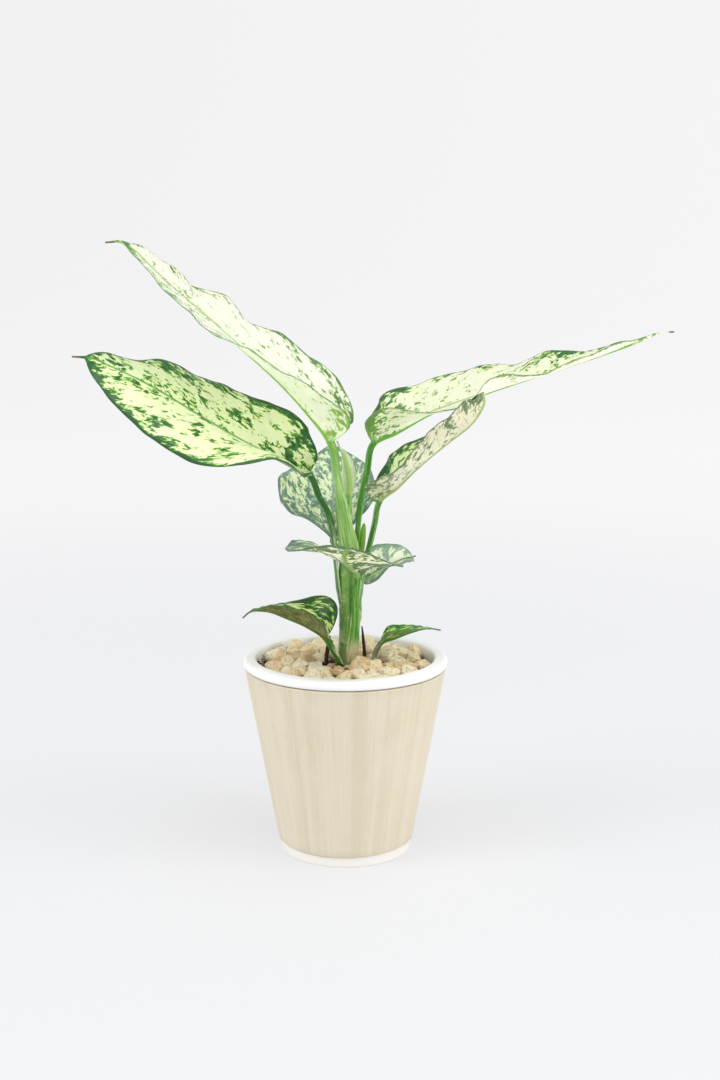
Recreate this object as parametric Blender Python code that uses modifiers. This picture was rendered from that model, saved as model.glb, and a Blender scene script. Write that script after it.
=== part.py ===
# Potted chinese evergreen: a young variegated plant with nine leaves, in a white pot
# inside a pale wood sleeve, with pumice gravel over the soil.
# Metres, +Z up, origin at the centre of the pot's foot, the front towards -Y.

import math
import random
from dataclasses import dataclass

import bmesh
import bpy
import numpy as np
from mathutils import Matrix, Vector

MM = 0.001
GAP = 0.3 * MM
MERGE = 0.00001

# Pot and sleeve
POT_HEIGHT = 85.5 * MM
RIM_RADIUS = 44.0 * MM
RIM_INNER_RADIUS = 38.4 * MM
RIM_HEIGHT = 4.3 * MM
FOOT_RADIUS = 28.2 * MM
FOOT_HEIGHT = 4.6 * MM
FOOT_ROUND = 0.8 * MM
SLEEVE_TOP_RADIUS = 43.3 * MM
SLEEVE_BOTTOM_RADIUS = 29.3 * MM
SLEEVE_WALL = 2.0 * MM
SLEEVE_TOP_Z = POT_HEIGHT - RIM_HEIGHT - GAP
SLEEVE_BOTTOM_Z = FOOT_HEIGHT + GAP
POT_WALL = 1.7 * MM
POT_FLOOR = 2.4 * MM
ROUND_STEPS = 48
DRAIN_HOLES = 4
DRAIN_RADIUS = 1.8 * MM
DRAIN_CIRCLE = 15.0 * MM

# Soil and gravel
SOIL_TOP_Z = 74.0 * MM
GRAVEL_BED_TOP_Z = 79.5 * MM
GRAVEL_MOUND = 1.6 * MM
GRAVEL_LEAN = 1.5 * MM
STONE_RADIUS = 4.4 * MM
STONE_COUNT = 70
STONE_SEED = 11
STEM_HOLE_FLOOR_Z = 50.0 * MM

# Plant
BLADE_THICKNESS = 0.62 * MM
TAIL_HALF_WIDTH = 0.4 * MM
LEAF_SECTIONS = (6, 15)
SPAN_STEPS = 4

# The stem's axis as x, z and radius in millimetres; it stands at y = 0.
STEM_LINE = ((0.9, 52.0, 3.6), (1.0, 70.0, 4.0), (1.1, 82.0, 4.2), (1.7, 96.0, 4.4), (1.7, 108.0, 4.4),
             (1.4, 118.0, 4.2), (1.0, 128.0, 3.5), (0.4, 137.0, 2.7), (0.0, 145.0, 1.8))


@dataclass
class Leaf:
    """One leaf: its sheath and stalk, then its blade, as lists of millimetres and degrees."""

    name: str
    stalk: tuple            # points from the foot of the sheath up to the blade
    rib: tuple              # points along the blade's midrib, from the joint to the tip
    half_width: float       # widest half of the blade
    belly: float            # place of the widest part, as a share of the blade's length
    facing: float           # compass angle that the blade grows towards
    seat: float             # compass angle of the sheath on the stem
    fold_left: tuple        # rise of the left half, even steps from joint to tip
    fold_right: tuple       # rise of the right half
    bend: tuple = (-15.0, -15.0)        # how far each half curls over towards its margin
    roll: tuple = (0.0, 0.0)            # turn of the blade about its midrib
    wave: tuple = (0.6, 4.0, 0.0, 0.5)  # height, count and the two phases of the wavy margin
    stalk_radius: float = 1.5
    foot: tuple = (3.0, 0.6)            # half width and half thickness of the sheath's foot
    sheath_share: float = 0.5           # part of the stalk that the sheath covers
    base_round: float = 0.35            # lower is a blunter base
    tip_shape: tuple = (2.2, 0.85)      # powers of the outline towards the tip
    tail: float = 0.09                  # share of the blade that is the thin tip
    sections: tuple = LEAF_SECTIONS     # sections along the stalk and along the blade


LEAVES = (
    Leaf("leaf_upper_left",
         stalk=((2.0, -5.7, 124.5), (0.6, -5.4, 135), (-1.2, -5.3, 146), (-2.8, -5.2, 162)),
         rib=((-6, -5, 179), (-14.5, -6, 190.5), (-25.5, -7, 202.5), (-35.5, -9, 212), (-43.5, -10, 219),
              (-57, -12, 231.5), (-70, -14, 243), (-78.5, -14, 251), (-84.5, -14, 257), (-90, -14, 260.5),
              (-96.5, -14, 260.5)),
         half_width=22.2, belly=0.33, facing=-180, seat=-80, base_round=0.27, tip_shape=(1.97, 0.71), tail=0.10,
         fold_left=(50, 32, 16, 9, 1, -4, -18, -10, -14, -10, 5),
         fold_right=(95, 75, 62, 55, 43, 38, 42, 29, 35, 52, 60),
         bend=(10, -20), wave=(0.8, 5, 0.2, 0.5), stalk_radius=1.9, foot=(5.4, 0.6), sheath_share=1.0),
    Leaf("leaf_left",
         stalk=((-3.7, -0.4, 104), (-4.2, -0.4, 118), (-4.7, -0.6, 131), (-5.4, -1.6, 141.5), (-7.2, -3.2, 148.5),
                (-10.8, -4.8, 155.5)),
         rib=((-14.5, -6, 164.5), (-23, -8, 169.5), (-39, -12, 178), (-57.5, -16, 189.5), (-79, -18, 203),
              (-95, -19, 211), (-104, -19, 214.5), (-110.5, -19, 215)),
         half_width=24.6, belly=0.39, facing=188, seat=184, base_round=0.5, tip_shape=(2.5, 0.66), tail=0.08,
         fold_left=(22, 49, 60, 41, 23, 15, 11, 12, 8, 15, 5),
         fold_right=(90, 58, 22, 8, -2, -5, -6, -7, -14, -9, -10),
         bend=(-20, -20), roll=(-30, -50, -50, -45, -40), wave=(0.8, 4, 0.0, 0.5)),
    Leaf("leaf_right",
         stalk=((5.8, 3.5, 125), (5.3, 3.4, 137), (6.2, 2.2, 150), (9.2, 0.9, 165)),
         rib=((12, 0, 177.5), (21, 0, 182), (35.5, 0, 190), (57.5, 0, 198), (83.5, 0, 206.5), (106.5, 0, 214),
              (123, 0, 220), (131, 0, 223.5), (137, 0, 224)),
         half_width=20.8, belly=0.33, facing=0, seat=38, base_round=0.3, tip_shape=(1.22, 0.92), tail=0.10,
         fold_left=(49, 74, 46, 42, 42, 33, 48, 37, 43, 68, 80),
         fold_right=(61, 36, 2, -5, 15, 10, 3, 12, 34, 58, 70),
         bend=(-20, 10), wave=(0.8, 5, 0.0, 0.0)),
    Leaf("leaf_lower_right",
         stalk=((7.3, -1.1, 106), (7.0, -1.3, 118), (8.4, -2.0, 127), (10.3, -3.5, 134.5), (12.4, -5.8, 144)),
         rib=((14.5, -8, 154), (21.5, -13, 160.5), (29, -17.5, 168.5), (36, -22, 175.2), (43.3, -27, 181.8),
              (51.2, -32, 189), (54.5, -34, 194), (56, -34.5, 198), (55.3, -34, 202)),
         half_width=15.3, belly=0.22, facing=-20, seat=-12, base_round=0.44, tip_shape=(2.98, 0.32), tail=0.06,
         fold_left=(69, 64, 67, 59, 48, 46, 47, 50, 53, 65, 80),
         fold_right=(51, 23, 14, 7, 4, 11, 19, 24, 28, 40, 65),
         bend=(-10, 10), wave=(0.4, 4, 0.0, 0.5), stalk_radius=1.3, foot=(2.6, 0.6)),
    Leaf("leaf_back",
         stalk=((1.5, 5.6, 106), (0.6, 5.8, 118), (-1.6, 7.6, 127)),
         rib=((-5, 11, 133), (-5.5, 19, 141.5), (-5.5, 29, 151), (-6, 40, 160.5), (-7, 49, 168.5), (-7, 54, 173)),
         half_width=24.5, belly=0.56, tip_shape=(1.75, 0.69), facing=90, seat=92, base_round=0.7, tail=0.06,
         fold_left=(72, 44, 23, 12, 4, 4, 10, 6, -8, -20, 0),
         fold_right=(33, 44, 37, 33, 22, -10, -24, -20, -8, -5, 5),
         wave=(0.8, 4, 0.0, 0.3), stalk_radius=1.4, foot=(2.8, 0.6)),
    Leaf("leaf_front",
         stalk=((3.7, -5.1, 92), (4.1, -5.4, 103), (4.4, -6.4, 113)),
         rib=((5, -9, 122), (2.5, -22, 128), (0.5, -36, 133.5), (0, -50, 138.5), (1, -64, 143.5),
              (2.5, -76, 146.5), (3.5, -84, 148)),
         half_width=23.8, belly=0.49, base_round=0.66, facing=-90, seat=-66, tip_shape=(2.25, 0.83), tail=0.10,
         fold_left=(36, 15, 11, 5, 3, -1, -4, -6, -9, -2, 0),
         fold_right=(51, 37, 43, 34, 29, 17, 11, 9, 9, 18, 8),
         wave=(0.5, 4, 0.0, 0.0), stalk_radius=1.5, foot=(2.6, 0.6)),
    Leaf("leaf_low_left",
         stalk=((-3.0, -3.9, 83.2), (-3.6, -4.6, 86), (-5.4, -6.0, 90)),
         rib=((-8, -8, 95), (-15.5, -12, 101), (-24, -16, 105.5), (-33.5, -20, 109.5), (-39.5, -22, 109.5),
              (-42.5, -22, 107)),
         half_width=17.4, belly=0.24, tip_shape=(2.1, 0.87), facing=200, seat=225, base_round=0.75,
         fold_left=(0, 5, 8, 22, 27, 34, 35, 34, 33, 32, 25),
         fold_right=(96, 98, 54, 33, 26, 19, 11, 9, 6, 5, 20),
         wave=(0.4, 3, 0.0, 0.5), stalk_radius=1.5, foot=(3.2, 0.6), sheath_share=0.9, sections=(4, 12)),
    Leaf("leaf_low_right",
         stalk=((12, -2.2, 77), (12.2, -2.2, 83), (13, -2.2, 87.5)),
         rib=((15, -3, 91.5), (21.5, -5, 94.5), (28.5, -7, 97.5), (36, -9, 99.5), (40.5, -10, 99)),
         half_width=6.4, belly=0.36, base_round=0.46, tip_shape=(2.19, 0.85), facing=0, seat=0,
         fold_left=(19, 51, 72, 50, 32, 24, 18, 5, -5, 0, 8),
         fold_right=(11, 28, 53, 51, 44, 38, 34, 26, 20, 26, 35),
         wave=(0.2, 3, 0.0, 0.0), stalk_radius=1.2, foot=(1.7, 1.5), sheath_share=0.7, sections=(4, 10)),
    Leaf("leaf_low_back",
         stalk=((5.5, 3.9, 97), (5.8, 4.2, 106), (5.5, 6.0, 112)),
         rib=((5.5, 8, 116), (11.5, 14, 118), (18.5, 20, 120.5), (25, 26, 122.5), (31, 32, 123)),
         half_width=11.1, belly=0.5, base_round=0.7, facing=30, seat=45, tip_shape=(1.37, 0.71), tail=0.05,
         fold_left=(102, 100, 84, 82, 71, 73, 77, 78, 90, 100, 100),
         fold_right=(-44, -8, 14, 26, 27, 21, 16, 12, 3, -28, -50),
         wave=(0.3, 3, 0.0, 0.5), stalk_radius=1.2, foot=(2.2, 0.6), sections=(4, 12)),
    Leaf("young_sheath",
         stalk=((0.7, 0.4, 145.4), (1.3, 0.0, 150.5)),
         rib=((1.8, -0.5, 155), (1.7, -0.9, 162), (0.2, -1.3, 169.5), (-3.4, -1.6, 178.5)),
         half_width=3.9, belly=0.30, facing=-70, seat=-70, base_round=0.3, tail=0.12,
         fold_left=(15, 15, 15, 20, 25, 25), fold_right=(15, 15, 15, 20, 25, 25),
         bend=(50, 40), wave=(0.0, 1.0, 0.0, 0.0), stalk_radius=1.0, foot=(2.6, 0.6), sheath_share=1.0,
         sections=(2, 8)),
)

# Dried sheath remnants: points in millimetres from the foot up, then the half thickness.
DRIED_SHEATHS = (
    ("dried_sheath_right", ((8.2, -0.4, 78), (8.3, -0.4, 84), (7.8, -0.6, 92), (7.1, -0.4, 98.5)), 0.95),
    ("dried_sheath_left", ((-8.0, 0.6, 78), (-8.2, 0.6, 84), (-7.4, 0.4, 90), (-6.6, 0.4, 94)), 1.1),
)

COLOURS = {
    "inner_pot": ((0.93, 0.93, 0.91), 0.35),
    "wood_sleeve": ((0.74, 0.64, 0.47), 0.60),
    "potting_soil": ((0.08, 0.05, 0.03), 0.95),
    "gravel": ((0.62, 0.48, 0.32), 0.90),
    "stem": ((0.16, 0.40, 0.07), 0.45),
    "leaf": ((0.55, 0.72, 0.34), 0.40),
    "young_sheath": ((0.62, 0.78, 0.42), 0.45),
    "dried_sheath": ((0.04, 0.02, 0.02), 0.80),
}


def clear_scene():
    """Remove every object, so the file holds only this plant."""
    for thing in list(bpy.data.objects):
        bpy.data.objects.remove(thing, do_unlink=True)


def new_collection(name):
    """Make a collection in the scene and return it."""
    made = bpy.data.collections.new(name)
    bpy.context.scene.collection.children.link(made)
    return made


def paint(thing, key):
    """Give an object its own material, from the colour table."""
    colour, rough = COLOURS[key]
    made = bpy.data.materials.new(thing.name)
    made.use_nodes = True
    shader = made.node_tree.nodes["Principled BSDF"]
    shader.inputs["Base Color"].default_value = (*colour, 1.0)
    shader.inputs["Roughness"].default_value = rough
    shader.inputs["Metallic"].default_value = 0.0
    thing.data.materials.clear()
    thing.data.materials.append(made)


def object_from_bmesh(name, shape, home):
    """Put a bmesh into a new object of a collection."""
    data = bpy.data.meshes.new(name)
    shape.to_mesh(data)
    shape.free()
    made = bpy.data.objects.new(name, data)
    home.objects.link(made)
    return made


def turned(name, profile, home, steps=ROUND_STEPS):
    """Turn a profile of (radius, height) points about Z; it ends on the axis at both ends or closes."""
    shape = bmesh.new()
    points = [shape.verts.new((radius, 0.0, height)) for radius, height in profile]
    for first, second in zip(points, points[1:]):
        shape.edges.new((first, second))
    made = object_from_bmesh(name, shape, home)
    screw = made.modifiers.new("Turn", "SCREW")
    screw.steps = steps
    screw.render_steps = steps
    screw.use_merge_vertices = True
    screw.merge_threshold = MERGE
    screw.use_smooth_shade = True
    return made


def arc(centre, radius, start, end, count):
    """Points of an arc in the profile's plane, angles in degrees."""
    angles = np.radians(np.linspace(start, end, count))
    return [(centre[0] + radius * math.cos(a), centre[1] + radius * math.sin(a)) for a in angles]


def apply_modifiers(thing):
    """Replace an object's mesh by its evaluated one and drop the modifiers."""
    ready = thing.evaluated_get(bpy.context.evaluated_depsgraph_get())
    data = bpy.data.meshes.new_from_object(ready)
    thing.modifiers.clear()
    thing.data = data


def cutter_cylinder(name, x, y, bottom, top, radius, home, sides=16):
    """An upright cylinder that only cuts."""
    shape = bmesh.new()
    bmesh.ops.create_cone(shape, cap_ends=True, segments=sides, radius1=radius, radius2=radius, depth=top - bottom,
                          matrix=Matrix.Translation((x, y, 0.5 * (bottom + top))))
    made = object_from_bmesh(name, shape, home)
    made.hide_render = True
    made.display_type = "WIRE"
    return made


def cut(thing, cutters):
    """Cut each cutter out of an object."""
    for cutter in cutters:
        hole = thing.modifiers.new("Cut " + cutter.name, "BOOLEAN")
        hole.operation = "DIFFERENCE"
        hole.solver = "EXACT"
        hole.object = cutter


def pot_outer_radius(height):
    """Outside of the pot's wall, parallel to the sleeve's inside."""
    share = (height - SLEEVE_BOTTOM_Z) / (SLEEVE_TOP_Z - SLEEVE_BOTTOM_Z)
    low = SLEEVE_BOTTOM_RADIUS - SLEEVE_WALL - GAP
    high = SLEEVE_TOP_RADIUS - SLEEVE_WALL - GAP
    return low + (high - low) * share


def pot_inner_radius(height):
    """Inside of the pot's wall, which runs up to the lip."""
    share = (height - POT_FLOOR) / (POT_HEIGHT - POT_FLOOR)
    low = pot_outer_radius(FOOT_HEIGHT) - POT_WALL
    return low + (RIM_INNER_RADIUS - low) * share


def build_inner_pot(home, cutting):
    """White pot: floor, flared wall, rolled lip and a foot with a step that carries the sleeve."""
    lip = 0.5 * RIM_HEIGHT
    rim_z = POT_HEIGHT - RIM_HEIGHT
    under_lip = pot_outer_radius(rim_z)
    profile = [(0.0, POT_FLOOR), (pot_inner_radius(POT_FLOOR), POT_FLOOR)]
    profile += [(pot_inner_radius(POT_HEIGHT - 1.4 * MM), POT_HEIGHT - 1.4 * MM)]
    profile += arc((RIM_INNER_RADIUS + 1.2 * MM, POT_HEIGHT - 1.2 * MM), 1.2 * MM, 170, 90, 4)
    profile += arc((RIM_RADIUS - lip, POT_HEIGHT - lip), lip, 90, -70, 7)
    profile += [(RIM_RADIUS - lip, rim_z), (under_lip, rim_z)]
    profile += [(pot_outer_radius(FOOT_HEIGHT), FOOT_HEIGHT)]
    profile += arc((FOOT_RADIUS - FOOT_ROUND, FOOT_HEIGHT - FOOT_ROUND), FOOT_ROUND, 90, 0, 3)
    profile += arc((FOOT_RADIUS - FOOT_ROUND, FOOT_ROUND), FOOT_ROUND, 0, -90, 3)
    profile += [(0.0, 0.0)]
    pot = turned("inner_pot", profile, home)
    drains = []
    for index in range(DRAIN_HOLES):
        angle = math.tau * (index + 0.5) / DRAIN_HOLES
        drains.append(cutter_cylinder(f"drain_{index + 1}", DRAIN_CIRCLE * math.cos(angle),
                                      DRAIN_CIRCLE * math.sin(angle), -1 * MM, POT_FLOOR + 1 * MM,
                                      DRAIN_RADIUS, cutting, sides=10))
    cut(pot, drains)
    paint(pot, "inner_pot")
    return pot


def build_sleeve(home):
    """Wood-grained sleeve, open above and below, that stands on the step of the foot."""
    edge = 0.5 * MM
    inner_low = SLEEVE_BOTTOM_RADIUS - SLEEVE_WALL
    inner_high = SLEEVE_TOP_RADIUS - SLEEVE_WALL
    profile = [(inner_low, SLEEVE_BOTTOM_Z), (inner_high, SLEEVE_TOP_Z),
               (SLEEVE_TOP_RADIUS - edge, SLEEVE_TOP_Z), (SLEEVE_TOP_RADIUS, SLEEVE_TOP_Z - edge),
               (SLEEVE_BOTTOM_RADIUS, SLEEVE_BOTTOM_Z + edge), (SLEEVE_BOTTOM_RADIUS - edge, SLEEVE_BOTTOM_Z),
               (inner_low, SLEEVE_BOTTOM_Z)]
    sleeve = turned("wood_sleeve", profile, home)
    paint(sleeve, "wood_sleeve")
    return sleeve


def standing_cutters(home, bottom, top, names, deepest):
    """Plain holes for what stands in the gravel or the soil, a little wider than each stalk."""
    places = {
        "stem": (STEM_LINE[2][0], 0.0, STEM_LINE[2][2] + 0.45),
        "low_right": (12.0, -1.9, 2.6),
        "dried_right": (8.2, -0.4, 1.4),
        "dried_left": (-8.1, 0.6, 1.55),
    }
    made = []
    for name in names:
        x, y, radius = places[name]
        low = bottom if name != "stem" else deepest
        made.append(cutter_cylinder("hole_" + name, x * MM, y * MM, low, top, radius * MM, home))
    return made


def build_soil(home, cutting):
    """Potting soil that fills the pot up to the gravel."""
    low = POT_FLOOR + GAP
    profile = [(0.0, SOIL_TOP_Z), (pot_inner_radius(SOIL_TOP_Z) - GAP, SOIL_TOP_Z),
               (pot_inner_radius(low) - GAP, low), (0.0, low)]
    soil = turned("potting_soil", profile, home, steps=48)
    cut(soil, standing_cutters(cutting, 60 * MM, SOIL_TOP_Z + 5 * MM, ("stem",), STEM_HOLE_FLOOR_Z))
    paint(soil, "potting_soil")
    return soil


def stone_places():
    """Centres of the stones: a sunflower spiral with a little seeded shift, kept off the stalks."""
    draw = random.Random(STONE_SEED)
    wall = pot_inner_radius(GRAVEL_BED_TOP_Z) - 0.4 * MM
    reach = wall - 0.8 * STONE_RADIUS
    golden = math.pi * (3.0 - math.sqrt(5.0))
    keep_off = (((STEM_LINE[2][0] - 1.0) * MM, -1.0 * MM, 7.2 * MM), (12.0 * MM, -2.0 * MM, 4.6 * MM),
                (8.2 * MM, -0.4 * MM, 3.2 * MM), (-8.1 * MM, 0.6 * MM, 3.4 * MM),
                (-4.2 * MM, -4.8 * MM, 7.6 * MM))
    for index in range(STONE_COUNT):
        size = STONE_RADIUS * draw.uniform(0.78, 1.12)
        squash = (draw.uniform(0.85, 1.12), draw.uniform(0.8, 1.1), draw.uniform(0.65, 0.85))
        spin = Matrix.Rotation(draw.uniform(0, math.tau), 4, Vector((draw.random(), draw.random(), 1.0)))
        far = min(reach * math.sqrt((index + 0.5) / STONE_COUNT), wall - size * max(squash))
        turn = index * golden + draw.uniform(-0.06, 0.06)
        x = far * math.cos(turn)
        y = far * math.sin(turn)
        near = min(math.hypot(x - cx, y - cy) - room for cx, cy, room in keep_off)
        if near < 0.0:
            continue
        mound = GRAVEL_MOUND * (1.0 - (far / reach) ** 2)
        lean = GRAVEL_LEAN * (0.4 * x + y) / reach
        yield Vector((x, y, GRAVEL_BED_TOP_Z + mound + lean + 0.3 * size)), size, squash, spin


def build_gravel(home, cutting):
    """Bed of pumice gravel: a mounded disc with stones pressed into it, fused into one body."""
    edge = pot_inner_radius(SOIL_TOP_Z + GAP) - GAP
    low = SOIL_TOP_Z + GAP
    crown = 10.0 * MM
    profile = [(0.0, GRAVEL_BED_TOP_Z + GRAVEL_MOUND), (crown, GRAVEL_BED_TOP_Z + 0.9 * GRAVEL_MOUND),
               (edge - 5 * MM, GRAVEL_BED_TOP_Z), (edge, GRAVEL_BED_TOP_Z - 1 * MM), (edge, low), (0.0, low)]
    bed = turned("gravel", profile, home, steps=40)
    apply_modifiers(bed)
    stones = bpy.data.collections.new("stones")
    for index, (place, size, squash, spin) in enumerate(stone_places()):
        shape = bmesh.new()
        scale = Matrix.Diagonal((*squash, 1.0))
        bmesh.ops.create_icosphere(shape, subdivisions=1, radius=size,
                                   matrix=Matrix.Translation(place) @ scale @ spin)
        object_from_bmesh(f"stone_{index + 1}", shape, stones)
    join = bed.modifiers.new("Join", "BOOLEAN")
    join.operation = "UNION"
    join.solver = "EXACT"
    join.operand_type = "COLLECTION"
    join.collection = stones
    apply_modifiers(bed)
    for stone in list(stones.objects):
        bpy.data.objects.remove(stone, do_unlink=True)
    bpy.data.collections.remove(stones)
    names = ("stem", "low_right", "dried_right", "dried_left")
    cut(bed, standing_cutters(cutting, low + 2 * MM, POT_HEIGHT + 5 * MM, names, low - 1 * MM))
    paint(bed, "gravel")
    return bed


def smooth_through(keys, values, at):
    """Cubic curve through values at keys, with each slope taken from its two neighbours."""
    keys = np.asarray(keys, float)
    values = np.asarray(values, float)
    at = np.clip(np.asarray(at, float), keys[0], keys[-1])
    slopes = np.gradient(values, keys, axis=0)
    index = np.clip(np.searchsorted(keys, at, side="right") - 1, 0, len(keys) - 2)
    span = keys[index + 1] - keys[index]
    share = (at - keys[index]) / span
    if values.ndim == 2:
        share, span = share[:, None], span[:, None]
    return ((1 + 2 * share) * (1 - share) ** 2 * values[index] + share * (1 - share) ** 2 * span * slopes[index]
            + share ** 2 * (3 - 2 * share) * values[index + 1] + share ** 2 * (share - 1) * span * slopes[index + 1])


def even_keys(values, at):
    """The same curve through values at even steps from 0 to 1."""
    return smooth_through(np.linspace(0.0, 1.0, len(values)), values, at)


def ease(share):
    """Smooth step from 0 to 1."""
    share = np.clip(share, 0.0, 1.0)
    return share * share * (3.0 - 2.0 * share)


def blade_outline(leaf, along):
    """Half width of the blade as a share of its widest: a round base and a drawn-out tip."""
    body = 1.0 - leaf.tail
    to_belly = np.clip(along / leaf.belly, 0.0, 1.0)
    past_belly = np.clip((along - leaf.belly) / (body - leaf.belly), 0.0, 1.0)
    base = (1.0 - (1.0 - to_belly) ** 2.4) ** leaf.base_round
    tip = (1.0 - past_belly ** leaf.tip_shape[0]) ** leaf.tip_shape[1]
    return np.where(along < leaf.belly, base, tip)


def unit(vectors):
    """Vectors of length one."""
    return vectors / np.linalg.norm(vectors, axis=-1, keepdims=True)


def leaf_frame(leaf, centre, ahead, stalk_share, along):
    """Up and side directions of each section: up faces the stem on the stalk and the sky on the blade."""
    turn = np.radians(leaf.seat + (leaf.facing - leaf.seat) * ease(stalk_share))
    outward = np.stack((np.cos(turn), np.sin(turn), np.zeros_like(turn)), axis=1)
    guide = np.array((0.0, 0.0, 1.0)) - 0.35 * outward
    up = unit(guide - (ahead * guide).sum(axis=1)[:, None] * ahead)
    side = np.cross(ahead, up)
    roll = np.radians(even_keys(leaf.roll, along))[:, None]
    roll = roll * ease(np.where(along > 0, along / 0.05, 0.0))[:, None]
    return up * np.cos(roll) + side * np.sin(roll), side * np.cos(roll) - up * np.sin(roll)


def leaf_rows(leaf, stalk_sections, blade_sections, span_steps):
    """Top and bottom surface of a leaf, as two grids of points in millimetres.

    A section is carried along a smooth curve from the sheath's foot to the tip. On the stalk it is a
    crescent that turns into a round rod. On the blade each half leaves the round midrib at its fold
    angle, curls evenly towards the margin and carries a wave that grows with the distance from the rib.
    """
    points = np.array(leaf.stalk + leaf.rib, float)
    keys = np.concatenate(([0.0], np.cumsum(np.linalg.norm(np.diff(points, axis=0), axis=1))))
    joint, length = keys[len(leaf.stalk)], keys[-1]
    even = np.linspace(0.0, 1.0, blade_sections)
    blade_steps = even ** 2 * (2.0 - even)
    where = np.concatenate((np.linspace(0.0, joint, stalk_sections, endpoint=False),
                            joint + blade_steps * (length - joint)))
    centre = smooth_through(keys, points, where)
    ahead = unit(smooth_through(keys, points, where + 0.4) - smooth_through(keys, points, where - 0.4))
    along = np.clip((where - joint) / (length - joint), 0.0, 1.0)
    stalk_share = np.clip(where / joint, 0.0, 1.0)
    up, side = leaf_frame(leaf, centre, ahead, stalk_share, along)

    edge = 0.5 * BLADE_THICKNESS / MM
    opening = 1.0 - ease(stalk_share / leaf.sheath_share)
    stalk_half = leaf.stalk_radius + (leaf.foot[0] - leaf.stalk_radius) * opening
    stalk_thick = leaf.stalk_radius + (leaf.foot[1] - leaf.stalk_radius) * opening
    rib = edge + (leaf.stalk_radius - edge) * (1.0 - along) ** 2.2
    on_blade = where >= joint
    tail = TAIL_HALF_WIDTH / MM
    half = np.where(on_blade, np.maximum(leaf.half_width * blade_outline(leaf, along), np.maximum(rib, tail)),
                    stalk_half)
    thick = np.where(on_blade, rib, stalk_thick)
    spread = ease((half / np.maximum(thick, tail) - 1.0) / 1.5) * on_blade

    steps = np.linspace(0.0, 1.0, span_steps + 1)[None, :]
    round_steps = np.sin(0.5 * math.pi * steps)
    first = np.minimum(thick / half, 0.9 / span_steps)[:, None]
    flat_steps = np.where(steps <= 0.0, 0.0, first + (1.0 - first) * (steps - steps[0, 1]) / (1.0 - steps[0, 1]))
    reach = round_steps + (flat_steps - round_steps) * spread[:, None]
    distance = reach * half[:, None]
    dome_reach = np.where(on_blade, thick + (half - thick) * (1.0 - spread), half)[:, None]
    dome = np.sqrt(np.clip(1.0 - (distance / dome_reach) ** 2, 0.0, 1.0))
    below = edge + (thick[:, None] - edge) * dome
    flatter = (1.0 - 0.8 * ease(along / 0.1))[:, None]
    above = edge + (0.85 * thick[:, None] - edge) * dome * flatter

    folding = ease(along / 0.015) * on_blade
    wrap = opening * leaf.foot[0] / np.hypot(leaf.foot[0], 4.6) * 1.15
    height, count, left_phase, right_phase = leaf.wave
    halves = []
    for sign, folds, bend, phase in ((-1.0, leaf.fold_left, leaf.bend[0], left_phase),
                                     (1.0, leaf.fold_right, leaf.bend[1], right_phase)):
        start = np.radians(even_keys(folds, along)) * folding
        curl = np.radians(bend) * folding + wrap * (1.0 - on_blade)
        curl = np.where(np.abs(curl) < 0.001, 0.001, curl)
        angle = start[:, None] + curl[:, None] * reach
        out = half[:, None] / curl[:, None] * (np.sin(angle) - np.sin(start)[:, None])
        rise = half[:, None] / curl[:, None] * (np.cos(start)[:, None] - np.cos(angle))
        calm = np.sqrt(np.sin(math.pi * along)) * on_blade
        ripple = height * np.sin(math.tau * (count * along + phase)) * calm
        tilt = angle * ease(reach / np.maximum(first, 0.05))
        lift = ripple[:, None] * reach ** 2
        out, rise = out - lift * np.sin(tilt), rise + lift * np.cos(tilt)
        rows = []
        for offset in (above, -below):
            x = sign * (out - offset * np.sin(tilt))
            z = rise + offset * np.cos(tilt)
            rows.append(centre[:, None, :] + x[..., None] * side[:, None, :] + z[..., None] * up[:, None, :])
        halves.append(rows)
    top = np.concatenate((halves[0][0][:, :0:-1], halves[1][0]), axis=1)
    bottom = np.concatenate((halves[0][1][:, :0:-1], halves[1][1]), axis=1)
    return top, bottom


def closed_skin(top, bottom):
    """Points and triangles of the closed body between two grids, with the same diagonals on both faces."""
    rows, columns = top.shape[:2]
    points = np.concatenate((top.reshape(-1, 3), bottom.reshape(-1, 3)))
    under = rows * columns

    def at(row, column):
        return row * columns + column

    faces = []
    for row in range(rows - 1):
        for column in range(columns - 1):
            a, b = at(row, column), at(row, column + 1)
            c, d = at(row + 1, column + 1), at(row + 1, column)
            faces += [(a, b, c), (a, c, d), (a + under, c + under, b + under), (a + under, d + under, c + under)]
        for column, left in ((0, True), (columns - 1, False)):
            a, d = at(row, column), at(row + 1, column)
            pair = [(a, d, d + under), (a, d + under, a + under)]
            faces += pair if left else [face[::-1] for face in pair]
    for column in range(columns - 1):
        for row, foot in ((0, True), (rows - 1, False)):
            a, b = at(row, column), at(row, column + 1)
            pair = [(a, b + under, b), (a, a + under, b + under)]
            faces += pair if foot else [face[::-1] for face in pair]
    return points, faces


def build_leaf(leaf, home):
    """One leaf as a loft between unlike sections: crescent sheath, round stalk, folded blade."""
    top, bottom = leaf_rows(leaf, *leaf.sections, SPAN_STEPS)
    points, faces = closed_skin(top, bottom)
    data = bpy.data.meshes.new(leaf.name)
    data.from_pydata((points * MM).tolist(), [], faces)
    data.update()
    shape = bmesh.new()
    shape.from_mesh(data)
    bmesh.ops.recalc_face_normals(shape, faces=shape.faces)
    shape.to_mesh(data)
    shape.free()
    data.shade_smooth()
    made = bpy.data.objects.new(leaf.name, data)
    home.objects.link(made)
    paint(made, "young_sheath" if leaf.name == "young_sheath" else "leaf")
    return made


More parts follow.
